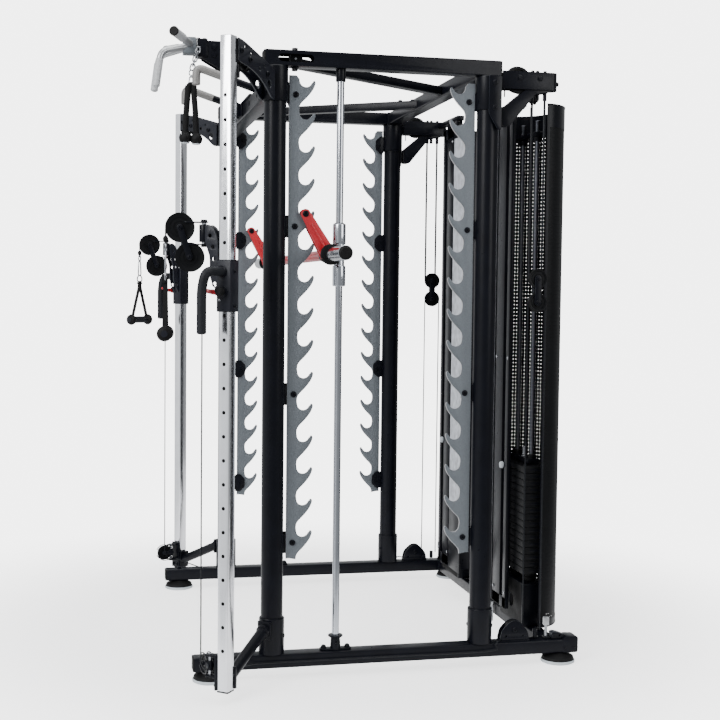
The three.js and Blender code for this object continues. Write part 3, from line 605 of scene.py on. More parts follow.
def rear_pulley(part):
    """The pulley on the base rail, between two domed cheek plates."""
    y, z = REAR_WHEEL_Y, REAR_WHEEL_Z
    wheel(part, (WIDE, y, z), ALONG_X, REAR_WHEEL_R, 15)
    bolt_holes = [circle(y + step, BASE_HIGH + 18, 4) for step in (-30, 34)]
    dome = round_corners([(y - 56, BASE_HIGH + 1), (y + 58, BASE_HIGH + 1), (y + 50, z - 4), (y + 18, z + 33),
                          (y - 12, z + 33), (y - 46, z + 2)], 14)
    for x in (WIDE - 15.5, WIDE + 15.5):
        part.plate(dome, bolt_holes, at_x(x), 4, BLACK, DARK_EDGE_HIGHLIGHT_AND_WEAR, bevel=0.7)
        part.box(x - 6, x + 6, y - 54, y + 56, BASE_HIGH - 0.5, BASE_HIGH + 4, BLACK, 1)
    for side in (1, -1):
        part.dome_bolt((WIDE + side * 17, y, z), (side, 0, 0), 9, 6, BLACK)
    part.plate(round_corners([(648, BASE_HIGH), (700, BASE_HIGH), (700, 100), (668, 112), (648, 112)], 7),
               [circle(680, 99, 5)], at_x(WIDE), 34, BLACK, DARK_EDGE_HIGHLIGHT_AND_WEAR, bevel=0.7)
    anchor_front, anchor_rear = 621, 640
    part.box(WIDE - 13, WIDE + 13, anchor_front, anchor_rear, BASE_HIGH - 0.5, 96, BLACK, 1)
    part.post(WIDE, 630, 94, 140, 5, ZINC, 16)
    part.box(WIDE - 10, WIDE + 10, anchor_front, anchor_rear, 136, 166, DULL, 2)


def upright(y):
    """A round post with a wider sleeve at its foot and its head."""
    part = Part()
    part.post(WIDE, y, BASE_HIGH, TOP_LOW, 38, BLACK, 48, 0.5)
    for z0, z1 in ((BASE_HIGH, 213), (UPPER_SLEEVE_LOW, TOP_LOW)):
        sleeve = [(37, z0), (43, z0), (44, z0 + 2), (44, z1 - 3), (42, z1), (37, z1)]
        part.lathe(sleeve, (WIDE, y, 0), UP, BLACK, 48)
    for z in (150, 2040):
        for angle in (-115, 65):
            a = math.radians(angle)
            out = Vector((math.cos(a), math.sin(a), 0))
            part.dome_bolt(Vector((WIDE, y, z)) + out * 42.5, out, 7, 4.5, BLACK)
    return part


def top_rail():
    """A hollow rail with a slot for its small front pulley, and the strap behind it."""
    part = Part()
    front, rear = -420, 420
    low, high = TOP_LOW + 0.3, TOP_HIGH
    half = 30
    slot = stadium(-357, -262, (low + high) / 2, 13)
    wall = round_corners([(front + 4, low), (rear - 4, low), (rear - 4, high), (front + 4, high)], 5, 4)
    for x in (WIDE - half + 1.5, WIDE + half - 1.5):
        part.plate(wall, [slot], at_x(x), 3, BLACK, bevel=1.0)
    for z0, z1 in ((low, low + 3), (high - 3, high)):
        part.box(WIDE - half + 1, WIDE + half - 1, front + 6, rear - 6, z0, z1, BLACK, 1.2)
    for y0, y1 in ((front, front + 6), (rear - 6, rear)):
        part.box(WIDE - half, WIDE + half, y0, y1, low, high, RUBBER, 4, 4)
    wheel(part, (WIDE, -309, (low + high) / 2 + 1), ALONG_X, 24, 18)
    part.hex_bolt((WIDE, -311, high), UP, 11, 12, BLACK)
    part.hex_bolt((WIDE, -311, low), DOWN, 11, 13, BLACK)
    rear_strap(part)
    return part


def rear_strap(part):
    """A flat bar bent round the pulley's outside, with its brace, gusset and fittings."""
    z_low, z_high, y_end, half = 2056, 2118, 604, 24
    bar = [(422, z_low), (y_end, z_low), (y_end, z_high), (422, z_high)]
    for side in (1, -1):
        part.plate(bar, [], at_x(WIDE + side * half), 5, BLACK, bevel=0.8)
    turn = [(WIDE + half * math.cos(math.radians(a)), y_end + half * math.sin(math.radians(a)),
             (z_low + z_high) / 2) for a in range(-6, 187, 12)]
    part.strap(turn, UP, z_high - z_low, 5, BLACK)
    small_y = 560
    wheel(part, (WIDE, TOP_WHEEL_Y, TOP_WHEEL_Z), ALONG_X, TOP_WHEEL_R, 22)
    for y in (TOP_WHEEL_Y, small_y):
        part.hex_bolt((WIDE + half + 2, y, 2096), ALONG_X, 8, 7, BLACK)
        part.across(WIDE - half, WIDE + half, y, 2096, 6, ZINC, 16)
    wheel(part, (WIDE, small_y, 2086), ALONG_X, 27, 20)
    brace = [(424, 1985), (424, 1926), (452, 1926), (545, 2040), (608, 2052), (600, 2070), (520, 2064)]
    gusset = [(366, 2096), (366, 1964), (400, 1908), (412, 1908), (412, 2096)]
    for side in (1, -1):
        part.plate(round_corners(brace, 8), [], at_x(WIDE + side * (half - 6)), 5, BLACK, bevel=0.8)
    part.plate(round_corners(gusset, 5), [], at_x(WIDE + 47.5), 4, BLACK, DARK_EDGE_HIGHLIGHT_AND_WEAR, bevel=0.8)
    part.box(WIDE - 26, WIDE + 48, 408, 413, 1912, 2092, BLACK, 1.5)
    for z in (2072, 1985):
        part.dome_bolt((WIDE + 49, 388, z), ALONG_X, 9, 5, BLACK)
    part.hex_bolt((WIDE, y_end + half + 1, 2082), ALONG_Y, 8, 9, BLACK)
    for y in (542, small_y, ANCHOR_Y):
        part.post(WIDE, y, z_high - 4, z_high + 9, 6, BLACK, 6)
        part.post(WIDE, y, 2022, 2060, 7, BLACK, 16)
    part.box(WIDE - 22, WIDE + 22, 520, 618, z_high - 8, z_high - 3, BLACK, 1.5)


def front_beam():
    """The front cross beam with the joint plate of each brace."""
    part = Part()
    low, high = box_of("front_top_beam")
    middle = (low.z + high.z) / 2
    part.box(low.x, high.x, low.y, high.y, low.z, high.z, BLACK, 6, 4)
    for side in (1, -1):
        for x in (255, 470):
            part.dome_bolt((side * x, low.y + 0.5, middle), (0, -1, 0), 10, 5, BLACK)
        x = side * 545
        part.box(x - 45, x + 45, low.y - 4, low.y + 1, low.z + 4, high.z - 4, BLACK, 1.5)
        for x in (520, 570):
            part.hex_bolt((side * x, low.y - 4, middle), (0, -1, 0), 8, 7, BLACK)
    return part


def plain_beam(node, bolts):
    """A cross beam with a bolt at each of those distances from the middle."""
    part = Part()
    low, high = box_of(node)
    part.box(low.x, high.x, low.y, high.y, low.z, high.z, BLACK, 6, 4)
    for side in (1, -1):
        for x in bolts:
            part.hex_bolt((side * x, (low.y + high.y) / 2, high.z), UP, 8, 6, BLACK)
        x = side * (high.x - 6)
        part.box(x - 5, x + 5, low.y - 3, high.y + 3, low.z - 3, high.z + 1, BLACK, 1.5)
    return part


def top_brace():
    """The flat diagonal from the front upright to the rear beam."""
    part = Part()
    x0, y0, rear = WIDE - 30.3, -367, DEEP - 30.3
    line = [(x0, y0), (x0, y0 + 70), (215, rear), (160, rear)]
    z0, z1 = TOP_LOW + 6, TOP_HIGH - 14
    part.plate(line, [], at_z((z0 + z1) / 2), z1 - z0, BLACK, bevel=4)
    for x, y in ((640, -300), (585, -215), (215, 290), (185, 335)):
        part.hex_bolt((x, y, z1), UP, 8, 6, BLACK)
    return part


# ---- rack plates and guide rods --------------------------------------------------------------------
def rack(front):
    """A notched plate; d is measured from the upright's axis towards the middle of the cage."""
    def y(d):
        return -DEEP + d if front else DEEP - d

    out = [(47, 415), (60, 415)]
    for i in range(NOTCHES):
        z = NOTCH_FIRST + i * NOTCH_PITCH
        under = smooth([(82, z - 78), (84, z - 64), (92, z - 52), (106, z - 38), (120, z - 22),
                        (131, z - 6), (137, z + 8)], 3)
        out += [tuple(p) for p in under]
        out += [(138.3, z + 14), (137.6, z + 19), (134.5, z + 22), (131, z + 21), (128.5, z + 16)]
        out += arc(NOTCH_OUT, z + NOTCH_R, NOTCH_R, -22, -172, 12)
        out += [(82.6, z + NOTCH_R + 6)]
    top = NOTCH_FIRST + (NOTCHES - 1) * NOTCH_PITCH
    out += [(79, top + 30), (74, top + 37), (70, top + 38), (47, top + 38)]
    outline = [(y(d), z) for d, z in out]
    part = Part()
    part.plate(outline, [], at_x(WIDE), 8, SILVER, EDGE_HIGHLIGHT_AND_WEAR, bevel=0.9)
    for z in (2006, 1560, 985, 470):
        start = 45 if z + 38 > UPPER_SLEEVE_LOW else 39
        tab = [(y(start), z - 38), (y(62), z - 38), (y(81), z - 19), (y(81), z + 19), (y(62), z + 38),
               (y(start), z + 38)]
        part.plate(round_corners(tab, 3), [], at_x(WIDE - 9), 9, BLACK, bevel=1)
        part.dome_bolt((WIDE + 3.8, y(70), z), ALONG_X, 10.5, 7, BLACK)
        part.hex_bolt((WIDE - 13, y(70), z), (-1, 0, 0), 9, 8, BLACK)
        part.box(WIDE - 12, WIDE + 6, y(start) - 4, y(start) + 4, z - 30, z + 30, BLACK, 1)
    return part


def guide_rod():
    """The chrome rod with its flange, collar and bolts below and its socket above."""
    part = Part()
    part.post(WIDE, ROD_Y, BASE_HIGH, TOP_LOW, 12.5, CHROME, 32, 0.3)
    part.lathe([(12, 2056), (16, 2056), (17, 2059), (17, TOP_LOW)], (WIDE, ROD_Y, 0), UP, BLACK, 32)
    flange = round_corners([(ROD_Y - 56, WIDE - 17), (ROD_Y + 56, WIDE - 17), (ROD_Y + 56, WIDE + 17),
                            (ROD_Y - 56, WIDE + 17)], 15)
    part.plate([(x, y) for y, x in reversed(flange)], [], at_z(BASE_HIGH + 3.4), 6, BLACK, bevel=1)
    collar = [(12, BASE_HIGH), (19, BASE_HIGH), (18, 102), (16.5, 131), (14, 133), (12, 133)]
    part.lathe(collar, (WIDE, ROD_Y, 0), UP, BLACK, 40)
    disc = [(12.6, 133), (24, 133), (26, 135), (26, 138), (24, 140), (12.6, 140)]
    part.lathe(disc, (WIDE, ROD_Y, 0), UP, BLACK, 36)
    nut = [(10, 0), (10, 4), (7.5, 10), (3, 12.5), (0, 13)]
    for y in (ROD_Y - 42, ROD_Y + 42):
        part.lathe(nut, (WIDE, y, BASE_HIGH + 6), UP, BLACK, 28)
    part.dome_bolt((WIDE + 16.5, ROD_Y, 116), ALONG_X, 5, 4, BLACK)
    return part


# ---- pulley columns --------------------------------------------------------------------------------
def carve(part, cutter):
    """The part with the cutter's shapes taken out of it."""
    body = shown("body", part.mesh("body"))
    tool = shown("tool", cutter.mesh("tool"))
    step = body.modifiers.new("cut", "BOOLEAN")
    step.operation, step.solver, step.object = "DIFFERENCE", "EXACT", tool
    step.material_mode = "TRANSFER"
    bpy.context.view_layer.update()
    done = evaluated_mesh(body)
    out = Part()
    points = [Vector((v.co.x / MM, v.co.y / MM - MID_Y, v.co.z / MM)) for v in done.vertices]
    for material_index in {f.material_index for f in done.polygons}:
        faces = [list(f.vertices) for f in done.polygons if f.material_index == material_index]
        out.take(points, faces, done.materials[material_index] or part.used[0])
    for made in (body, tool):
        bpy.data.objects.remove(made)
    return out


def column():
    """The square chrome tube with its row of holes."""
    tube, holes = Part(), Part()
    tube.box(-20, 20, -20, 20, BASE_LOW, COLUMN_TOP, BRIGHT, 3, 3)
    # The cutter's near-black paint passes to the hole walls and the tube's inside as painted shade.
    holes.box(-17.5, 17.5, -17.5, 17.5, BASE_LOW - 9, COLUMN_TOP - 6, PAINTED_SHADE_INSIDE, 0)
    for i in range(HOLES):
        holes.across(0, 30, 0, HOLE_FIRST + HOLE_PITCH * i, 6.2, PAINTED_SHADE_INSIDE, 20, 0.1)
    part = carve(tube, holes)
    part.box(-16.8, 16.8, -16.8, 16.8, COLUMN_TOP - 6.5, COLUMN_TOP - 1.5, RUBBER, 1)
    return Part().add(part, ON_COLUMN)


def column_head():
    """Two curved side plates from the upright to the column's top, with the pulley between them."""
    part = Part()
    top, reach = COLUMN_TOP, ARM_REACH
    wheel_x, wheel_z = -92, 2080
    upper = smooth([(-20.4, top - 4), (-60, top - 10), (-120, top - 26), (-180, top - 42), (-225, top - 55),
                    (reach, top - 70)], 5)
    lower = smooth([(reach, top - 166), (-240, top - 160), (-205, top - 134), (-160, top - 108),
                    (-110, top - 91), (-60, top - 82), (-20.4, top - 76)], 5)
    outline = [tuple(p) for p in upper + lower]
    holes = [circle(-62, top - 26, 5.5), circle(-104, top - 40, 5.5), circle(-158, top - 80, 8),
             circle(-226, top - 118, 14, 24), circle(-190, top - 66, 5)]
    for y in (-22.5, 22.5):
        plane = Matrix.Translation((0, y, 0)) @ PLANE_XZ
        part.plate(outline, holes, plane, 6, SLATE, DARK_EDGE_HIGHLIGHT_AND_WEAR, bevel=0.9)
        for u, v in ((-36, top - 42), (-92, top - 62), (-208, top - 90)):
            part.dome_bolt((u, y + math.copysign(3, y), v), (0, math.copysign(1, y), 0), 10, 6, BLACK)
    wheel(part, (wheel_x, 0, wheel_z), ALONG_Y, 36, 18)
    part.box(-26, -20.4, -25, 25, top - 80, top - 6, BLACK, 1)
    part.box(reach, reach + 6, -25, 25, top - 164, top - 70, BLACK, 1)
    part.rod((wheel_x, -26, wheel_z), (wheel_x, 26, wheel_z), 8, ZINC, 20)
    part.post(-52, 0, 2020, 2060, 10, BLACK, 20)
    return Part().add(part, ON_COLUMN)


def column_foot(turn):
    """The lower arm, the foot bracket, and a foot pulley in a yoke that turns about an upright pin."""
    part, yoke = Part(), Part()
    reach, pin_y = ARM_REACH, -58
    wheel_y, wheel_z = -30, 118
    part.tube([(reach + 6, 0, 180), (-29, 0, 80)], 19, BLACK, 32)
    part.lathe([(19, 0), (23, 0), (23, 12), (19, 14)], (reach + 8, 0, 179), (1, 0, -0.43), BLACK, 32)
    part.box(-32.3, -20.3, -24, 24, 44, 116, BLACK, 2)
    part.box(reach, reach + 8, -25, 25, 146, 208, BLACK, 2)
    part.box(-24, 24, -29.3, -20.3, 44, 160, BLACK, 2)
    for z in (84, 152):
        part.box(-14, 14, -70, -26, z - 3, z + 3, BLACK, 1.5)
    part.post(0, pin_y, 80, 158, 6, ZINC, 20)
    wheel(yoke, (0, wheel_y, wheel_z), ALONG_X, 32, 14)
    guard = arc(wheel_y, wheel_z, 36, 200, 520, 24) + arc(wheel_y, wheel_z, 32.8, 160, -160, 24)
    for x in (-11, 11):
        yoke.plate(guard, [], at_x(x), 3, BLACK, bevel=0.5)
        yoke.plate(stadium(-34, 4, wheel_z, 8), [], at_x(x), 3.4, BLACK, DARK_EDGE_HIGHLIGHT_AND_WEAR, bevel=0.6)
        yoke.dome_bolt((x + math.copysign(2, x), wheel_y, wheel_z), (x, 0, 0), 8, 5, BLACK)
    yoke.lathe([(7, 0), (11, 0), (11, 30), (7, 30)], (0, 0, 103), UP, BLACK, 24)
    part.add(yoke, Matrix.Translation((0, pin_y, 0)) @ Matrix.Rotation(math.radians(turn), 4, "Z"))
    for x in (-12, 12):
        part.hex_bolt((x, -29.3, 58), (0, -1, 0), 6, 6, BLACK)
    part.box(-20.6, 20.6, -20.6, 20.6, 38, 44, RUBBER, 1.5)
    return Part().add(part, ON_COLUMN)


def carriage():
    """The square sleeve, its two curved arms with the swivel's boss, and the hooked grip."""
    part = Part()
    inner, outer, low, high = 20.8, 25.8, 1273, 1436
    sleeve, hollow = Part(), Part()
    sleeve.box(-outer, outer, -outer, outer, low, high, SLATE, 2.5, 3)
    hollow.box(-inner, inner, -inner, inner, low - 5, high + 5, NYLON, 1)
    hollow.across(outer - 10, outer + 8, 0, CARRIAGE_Z, 6.4, NYLON, 20, 0.1)
    part.add(carve(sleeve, hollow))
    for z0, z1 in ((low - 1.5, low + 4), (high - 4, high + 1.5)):
        ring, gap = Part(), Part()
        ring.box(-outer + 1, outer - 1, -outer + 1, outer - 1, z0, z1, NYLON, 1)
        gap.box(-20.4, 20.4, -20.4, 20.4, z0 - 5, z1 + 5, NYLON, 0)
        part.add(carve(ring, gap))
    part.lathe([(7, 0), (15, 0), (15, 4), (13, 6), (13, 11), (7, 12)], (outer, 0, CARRIAGE_Z), ALONG_X, BLACK)
    front = smooth([(-outer, low + 48), (-outer - 14, low + 74), (-outer - 30, low + 108),
                    (-outer - 33, high + 6), (-outer - 40, 1466), (-76, 1494)], 5)
    back = smooth([(-76, 1546), (-60, 1548), (-42, 1532), (-30, 1500), (-outer - 2, 1460), (-outer, 1424)], 5)
    outline = [tuple(p) for p in front + back]
    holes = [circle(-58, 1514, 6.5), circle(-47, 1478, 6.5), circle(-44, 1440, 6.5), circle(-40, low + 86, 8)]
    for x in (-12, 12):
        part.plate(outline, holes, at_x(x), 6, SLATE, DARK_EDGE_HIGHLIGHT_AND_WEAR, bevel=0.9)
    part.box(-15, 15, -outer - 5, -outer + 1, low + 60, high - 2, SLATE, 1.5)
    boss = [(8.8, SWIVEL_LOW), (15, SWIVEL_LOW), (16, SWIVEL_LOW + 2), (16, SWIVEL_HIGH - 2),
            (15, SWIVEL_HIGH),
            (8.8, SWIVEL_HIGH)]
    part.lathe(boss, (0, SWIVEL_OUT, 0), UP, BLACK, 36)
    grip_x, grip_y, grip_top = 97, -37, 1400
    path = bent([(outer - 1, -6, grip_top), (grip_x, -22, grip_top), (grip_x, grip_y, 1346),
                 (grip_x, grip_y, 1207)], 48, 8)
    part.tube(path, 15.3, FOAM, 28)
    end = [(15.3, 0), (15, 3), (12, 6), (6, 7.4), (0, 7.6)]
    part.lathe(end, (grip_x, grip_y, 1208), DOWN, FOAM, 28)
    part.lathe([(19, 0), (19, 3), (16, 5)], (outer, -6, grip_top), (1, -0.22, 0), BLACK, 28)
    part.dome_bolt((outer, -14, 1309), ALONG_X, 5, 4, ZINC)
    for z in (1290, 1400):
        part.dome_bolt((0, outer, z), ALONG_Y, 5, 4, BLACK)
    return Part().add(part, ON_COLUMN)


def pop_pin():
    """The sprung locking pin: a fluted black knob with a red lever."""
    part = Part()
    z, x = CARRIAGE_Z, 25.8
    part.across(14, x + 30, 0, z, 5, ZINC, 20)
    profile = [(0, 0), (10, 0), (14, 2), (14.6, 8), (13, 11), (14.6, 14), (14, 21), (10, 24), (0, 24.5)]
    part.lathe(profile, (x + 12.5, 0, z), ALONG_X, RUBBER, 12)
    lever = bent([(x + 26, -7, z - 3), (x + 28, -34, z - 1), (x + 26, -66, z + 7)], 14, 5)
    widths = [8.4] * 3 + [7.2] * (len(lever) - 5) + [6.2, 6.0]
    part.tube(lever, widths, RED, 20)
    part.lathe([(6.0, 0), (5.4, 3), (3.6, 5), (0, 5.4)], lever[-1], (-0.02, -32, 7), RED, 20)
    part.lathe([(0, 0), (9, 0), (10, 4), (9, 8), (0, 9)], (x + 26, -4, z - 4), (0.1, -1, 0.05), RED, 24)
    return Part().add(part, ON_COLUMN)


ON_SWIVEL = (ON_COLUMN @ Matrix.Translation((0, SWIVEL_OUT, 0)) @ Matrix.Rotation(math.radians(30), 4, "Z")
             @ Matrix.Translation((0, -SWIVEL_OUT, 0)))
FLAT_ZX = Matrix(((0, 1, 0, 0), (1, 0, 0, 0), (0, 0, 1, 0), (0, 0, 0, 1)))


def swivel():
    """The bolt, two flat tongues from it, and the narrow arms that hold the axles of both pulleys."""
    part = Part()
    y, upper, lower = SWIVEL_OUT, UPPER_WHEEL, LOWER_WHEEL
    part.post(0, y, 1478, 1562, 8, ZINC, 24)
    for z, direction in ((1557, 1), (1487, -1)):
        part.rod((0, y, z), (0, y, z + 3 * direction), 15, BLACK, 28)
        part.rod((0, y, z + 3 * direction), (0, y, z + 9 * direction), 11.5, BLACK, 6, 1.5)
    for z in (1486.2, 1557.0):
        flat = Matrix.Translation((0, 0, z)) @ FLAT_ZX
        part.plate(stadium(y - 54, y, 0, 12.5), [circle(y, 0, 8.2)], flat, 4, BLACK, bevel=0.5)
    outline = arc(upper.x, upper.y, 10, 10, 190, 10) + arc(lower.x, lower.y, 10, 190, 370, 10)
    for x in (-11.2, 11.2):
        part.plate(outline, [], at_x(x), 4, BLACK, bevel=0.6)
        for p in (upper, lower):
            part.dome_bolt((x + math.copysign(2, x), p.x, p.y), (x, 0, 0), 9, 5, BLACK)
    for p in (upper, lower):
        part.across(-14, 14, p.x, p.y, 6, ZINC, 20)
    return Part().add(part, ON_SWIVEL)


def big_wheel(at):
    """A large swivel pulley, round the point at = (out from the column, height)."""
    part = Part()
    w, r = 7, 47.5
    half = [(6.3, w), (13, w), (14, w - 1), (15, w - 2.6), (19, w - 2.6), (20, w - 1.4), (24, w - 1.4),
            (25, w - 2.6), (31, w - 2.6), (32, w - 1.2), (44, w - 0.4), (46.5, w), (r, w - 0.8),
            (r - 0.6, w * 0.7), (r - 7, w * 0.3)]
    profile = half + [(a, -b) for a, b in reversed(half)] + [half[0]]
    part.lathe(profile, (0, at.x, at.y), ALONG_X, NYLON, 64)
    return Part().add(part, ON_SWIVEL)


# ---- smith bar -------------------------------------------------------------------------------------
def smith_bar():
    """The shaft, its red tube, its sleeves, stops and caps."""
    part = Part()
    half, sleeve = 993, 760
    part.across(-sleeve, sleeve, BAR_Y, BAR_Z, 14, CHROME, 32)
    part.across(-640, 640, BAR_Y, BAR_Z, 19, RED, 40, 2)
    for side in (1, -1):
        part.across(side * sleeve, side * (half - 4), BAR_Y, BAR_Z, 24.5, CHROME, 48, 1)
        cap = [(0, 8), (16, 8), (18, 6), (22, 5), (24.5, 2.5), (24.5, 0), (0, 0)]
        part.lathe(cap, (side * (half - 8), BAR_Y, BAR_Z), (side, 0, 0), RUBBER, 48)
        ring = [(14, 0), (30, 0), (35, 2), (36, 5), (36, 20), (34, 24), (24, 25), (24, 27)]
        part.lathe(ring, (side * 735, BAR_Y, BAR_Z), (side, 0, 0), RUBBER, 48)
        collar = [(14, 0), (20, 0), (21, 1.5), (21, 5.5), (20, 7), (14, 7)]
        part.lathe(collar, (side * 648, BAR_Y, BAR_Z), (side, 0, 0), CHROME, 36)
    return part


def bearing():
    """Two linear bearings on the guide rod, and the clamp that reaches the bar."""
    part = Part()
    gap, tall = 36, 71.5
    profile = [(13, 0), (19, 0), (22, 2), (22.5, 5), (22.5, tall - 5), (22, tall - 2), (19, tall), (13, tall),
               (13, 0)]
    seal = [(12.8, tall), (17, tall), (17, 74), (12.8, 74)]
    for low in (BAR_Z + gap, BAR_Z - gap - tall):
        part.lathe(profile, (WIDE, ROD_Y, low), UP, CHROME, 44)
        part.lathe(seal, (WIDE, ROD_Y, low), UP, RUBBER, 36)
    part.lathe([(13, -gap), (18, -gap), (18, gap), (13, gap)], (WIDE, ROD_Y, BAR_Z), UP, CHROME, 36)
    part.box(WIDE - 9, WIDE + 9, BAR_Y - 12, ROD_Y - 13, BAR_Z - 30, BAR_Z + 30, DULL, 4, 3)
    for z in (-22, 22):
        part.dome_bolt((WIDE + 9, (BAR_Y + ROD_Y) / 2 - 6, BAR_Z + z), ALONG_X, 5, 4, BLACK)
    return part


def hook_arm():
    """Two red cheeks round the bar, with the pin that rests in a notch."""
    part = Part()
    pin_z = NOTCH_FIRST + 10 * NOTCH_PITCH + 11.5
    pin_y = -DEEP + NOTCH_OUT
    lean = math.degrees(math.atan2(pin_z - BAR_Z, pin_y - BAR_Y))
    outline = arc(pin_y, pin_z, 17, lean - 90, lean + 90, 10)
    outline += arc(BAR_Y, BAR_Z, 26, lean + 90, lean + 270, 14)
    way = Vector((0, pin_y - BAR_Y, pin_z - BAR_Z)).normalized()
    collar = [(14.4, 0), (27, 0), (27, 16), (25, 19), (14.4, 19)]
    for side, paint in ((-1, BLACK), (1, RED)):
        part.plate(outline, [circle(BAR_Y, BAR_Z, 14.4, 28)], at_x(WIDE + side * 16), 6, RED, bevel=1.2)
        face = WIDE + side * 19
        part.lathe(collar, (face, BAR_Y, BAR_Z), (side, 0, 0), paint, 40)
        part.dome_bolt((face, pin_y, pin_z), (side, 0, 0), 11, 5, BLACK)
        rib = Vector((face, BAR_Y, BAR_Z))
        part.tube([rib + way * 32, rib + way * 120], 4, RED, 12)
    part.across(WIDE - 19, WIDE + 19, pin_y, pin_z, 9.5, BLACK, 28)
    mid = Vector((WIDE, BAR_Y, BAR_Z)) + way * 64
    part.rod(mid - Vector((15, 0, 0)), mid + Vector((15, 0, 0)), 7, RED, 20)
    return part


# ---- weight stacks ---------------------------------------------------------------------------------
def stack_rods():
    """The stack's guide rods with their cushions, foot and top bridge."""
    part = Part()
    sleeve = [(9, 0), (15, 0), (16, 2), (16, 22), (15, 24), (9, 24)]
    cushion = [(0, 0), (20, 0), (22, 3), (22, 15), (20, 18), (22, 21), (22, 36), (20, 39.5), (0, 39.5)]
    for x in (STACK_X - GUIDE_OUT, STACK_X + GUIDE_OUT):
        part.post(x, STACK_Y, 90, 1981, 9, DARK_ROD, 28)
        part.lathe(sleeve, (x, STACK_Y, 1905), UP, BLACK, 28)
        part.lathe(cushion, (x, STACK_Y, STACK_LOW - 40), UP, RUBBER, 32)
    part.block(STACK_X, 104, STACK_Y, 18, 1922, 1938, BLACK, 2)
    part.block(STACK_X, 130, STACK_Y, 45, STACK_LOW - 46, STACK_LOW - 40,
             BLACK, 2)
    for x in (STACK_X - 124, STACK_X + 124):
        part.block(x, 4, STACK_Y, 45, BASE_HIGH, STACK_LOW - 42, BLACK, 2)
    plate = round_corners([(STACK_X - 130, BASE_HIGH), (STACK_X + 130, BASE_HIGH),
                           (STACK_X + 110, STACK_LOW - 42),
                           (STACK_X - 110, STACK_LOW - 42)], 10)
    part.plate(plate, [circle(STACK_X, 165, 26, 32)], at_y(STACK_Y - 42), 5, RUBBER, DARK_EDGE_HIGHLIGHT_AND_WEAR, bevel=0.8)
    return part


def weight(part, low):
    """One plate of the stack with a groove round it, its two guide holes bushed and a pin hole."""
    x, y, hx, hy = STACK_X, STACK_Y, 150, 55
    part.box(x - hx, x + hx, y - hy, y + hy, low, low + PLATE_THICK, PLATE, 3.2, 3)
    part.box(x - hx - 0.4, x + hx + 0.4, y - 30, y + 30, low + 8, low + PLATE_THICK - 8, BLACK, 0.6)
    bush = [(10.5, 0), (15, 0), (15, 0.6), (10.5, 0.6)]
    for s in (-GUIDE_OUT, GUIDE_OUT):
        part.lathe(bush, (x + s, y, low + PLATE_THICK), UP, NYLON, 24)
    part.lathe([(5.6, 0), (9, 0), (9, 1.2), (5.6, 1.2)], (x, y - hy, low + 12), (0, -1, 0), NYLON, 24)


def lower_stack():
    """Every plate under the top one."""
    part = Part()
    for i in range(PLATE_COUNT - 1):
        weight(part, STACK_LOW + i * PLATE_PITCH)
    return part


def stack_head():
    """The top plate with its bridge, stem and bushes."""
    part = Part()
    x, y, top = STACK_X, STACK_Y, STACK_TOP
    weight(part, top - PLATE_THICK)
    part.block(x, 98, y, 24, top, top + 21, BLACK, 4, 3)
    part.hex_bolt((x, y, top + 20), UP, 12, 12, ZINC)
    part.post(x, y, top + 20, top + 58, 9, ZINC, 24)
    bush = [(10.5, 0), (17, 0), (17, 14), (14, 17), (10.5, 17)]
    for s in (-GUIDE_OUT, GUIDE_OUT):
        part.lathe(bush, (x + s, y, top + 20), UP, NYLON, 28)
    return part


def selector():
    """The pin under the top plate and its knob."""
    part = Part()
    z = STACK_TOP - PLATE_THICK + 12
    part.rod((STACK_X, STACK_Y - 6, z), (STACK_X, 560, z), 4.8, ZINC, 20)
    knob = [(0, 0), (6, 0), (7, 4), (10, 7), (13, 10), (13, 15), (11, 20), (5, 22), (0, 22.3)]
    part.lathe(knob, (STACK_X, 562, z), (0, -1, 0), RIM, 32)
    return part


def shroud():
    """A half-round perforated shell behind the stack, solid at its top and along its edges."""
    part = Part()
    low, high = box_of("stack_shroud_right")
    mid_x, y = STACK_X, low.y
    hx, depth = (high.x - low.x) / 2 - 1.3, high.y - low.y - 1.3

    def at(turn, z, inset=0.0):
        a = math.pi * turn
        return Vector((mid_x + (hx - inset) * math.cos(a), y + (depth - inset) * math.sin(a), z))

    band = high.z - 82
    columns = 34
    rows = int((band - low.z - 30) / 14.2)
    start = low.z + 26
    pitch = (band - start) / rows
    points = [at((c + 1) / (columns + 2),
                 start + r * pitch) for r in range(rows + 1) for c in range(columns + 1)]
    faces = []
    for r in range(rows):
        for c in range(columns):
            corners = [r * (columns + 1) + c, r * (columns + 1) + c + 1, (r + 1) * (columns + 1) + c + 1,
                       (r + 1) * (columns + 1) + c]
            centre = sum((points[i] for i in corners), Vector()) / 4
            hole = []
            for k in range(4):
                edge = (points[corners[k]] + points[corners[(k + 1) % 4]]) / 2
                points.append(edge.lerp(centre, 0.76))
                hole.append(len(points) - 1)
            for k in range(4):
                faces.append([corners[k], corners[(k + 1) % 4], hole[k]])
                faces.append([corners[k], hole[k], hole[k - 1]])
    part.take(points, faces, SHEET)

    def solid_strip(t0, t1, z0, z1, steps):
        """A curved wall between two turns and two heights."""
        turns = [t0 + (t1 - t0) * k / steps for k in range(steps + 1)]
        ring = [(t, -1.2) for t in turns] + [(t, 1.2) for t in reversed(turns)]
        count = len(ring)
        solid = [at(t, z, inset) for z in (z0, z1) for t, inset in ring]
        walls = [[k, (k + 1) % count, (k + 1) % count + count, k + count] for k in range(count)]
        quads = [[k, k + 1, count - 2 - k, count - 1 - k] for k in range(steps)]
        caps = [q[::-1] for q in quads] + [[k + count for k in q] for q in quads]
        part.take(solid, walls + caps, BLACK)

    solid_strip(0, 1, band, high.z, 48)
    solid_strip(0, 1, low.z, start, 48)
    edge = 1 / (columns + 2)
    solid_strip(0, edge, start, band, 3)
    solid_strip(1 - edge, 1, start, band, 3)
    for z in (high.z, low.z):
        part.tube([at(k / 48, z) for k in range(49)], 2.6, BLACK, 8)
    return part


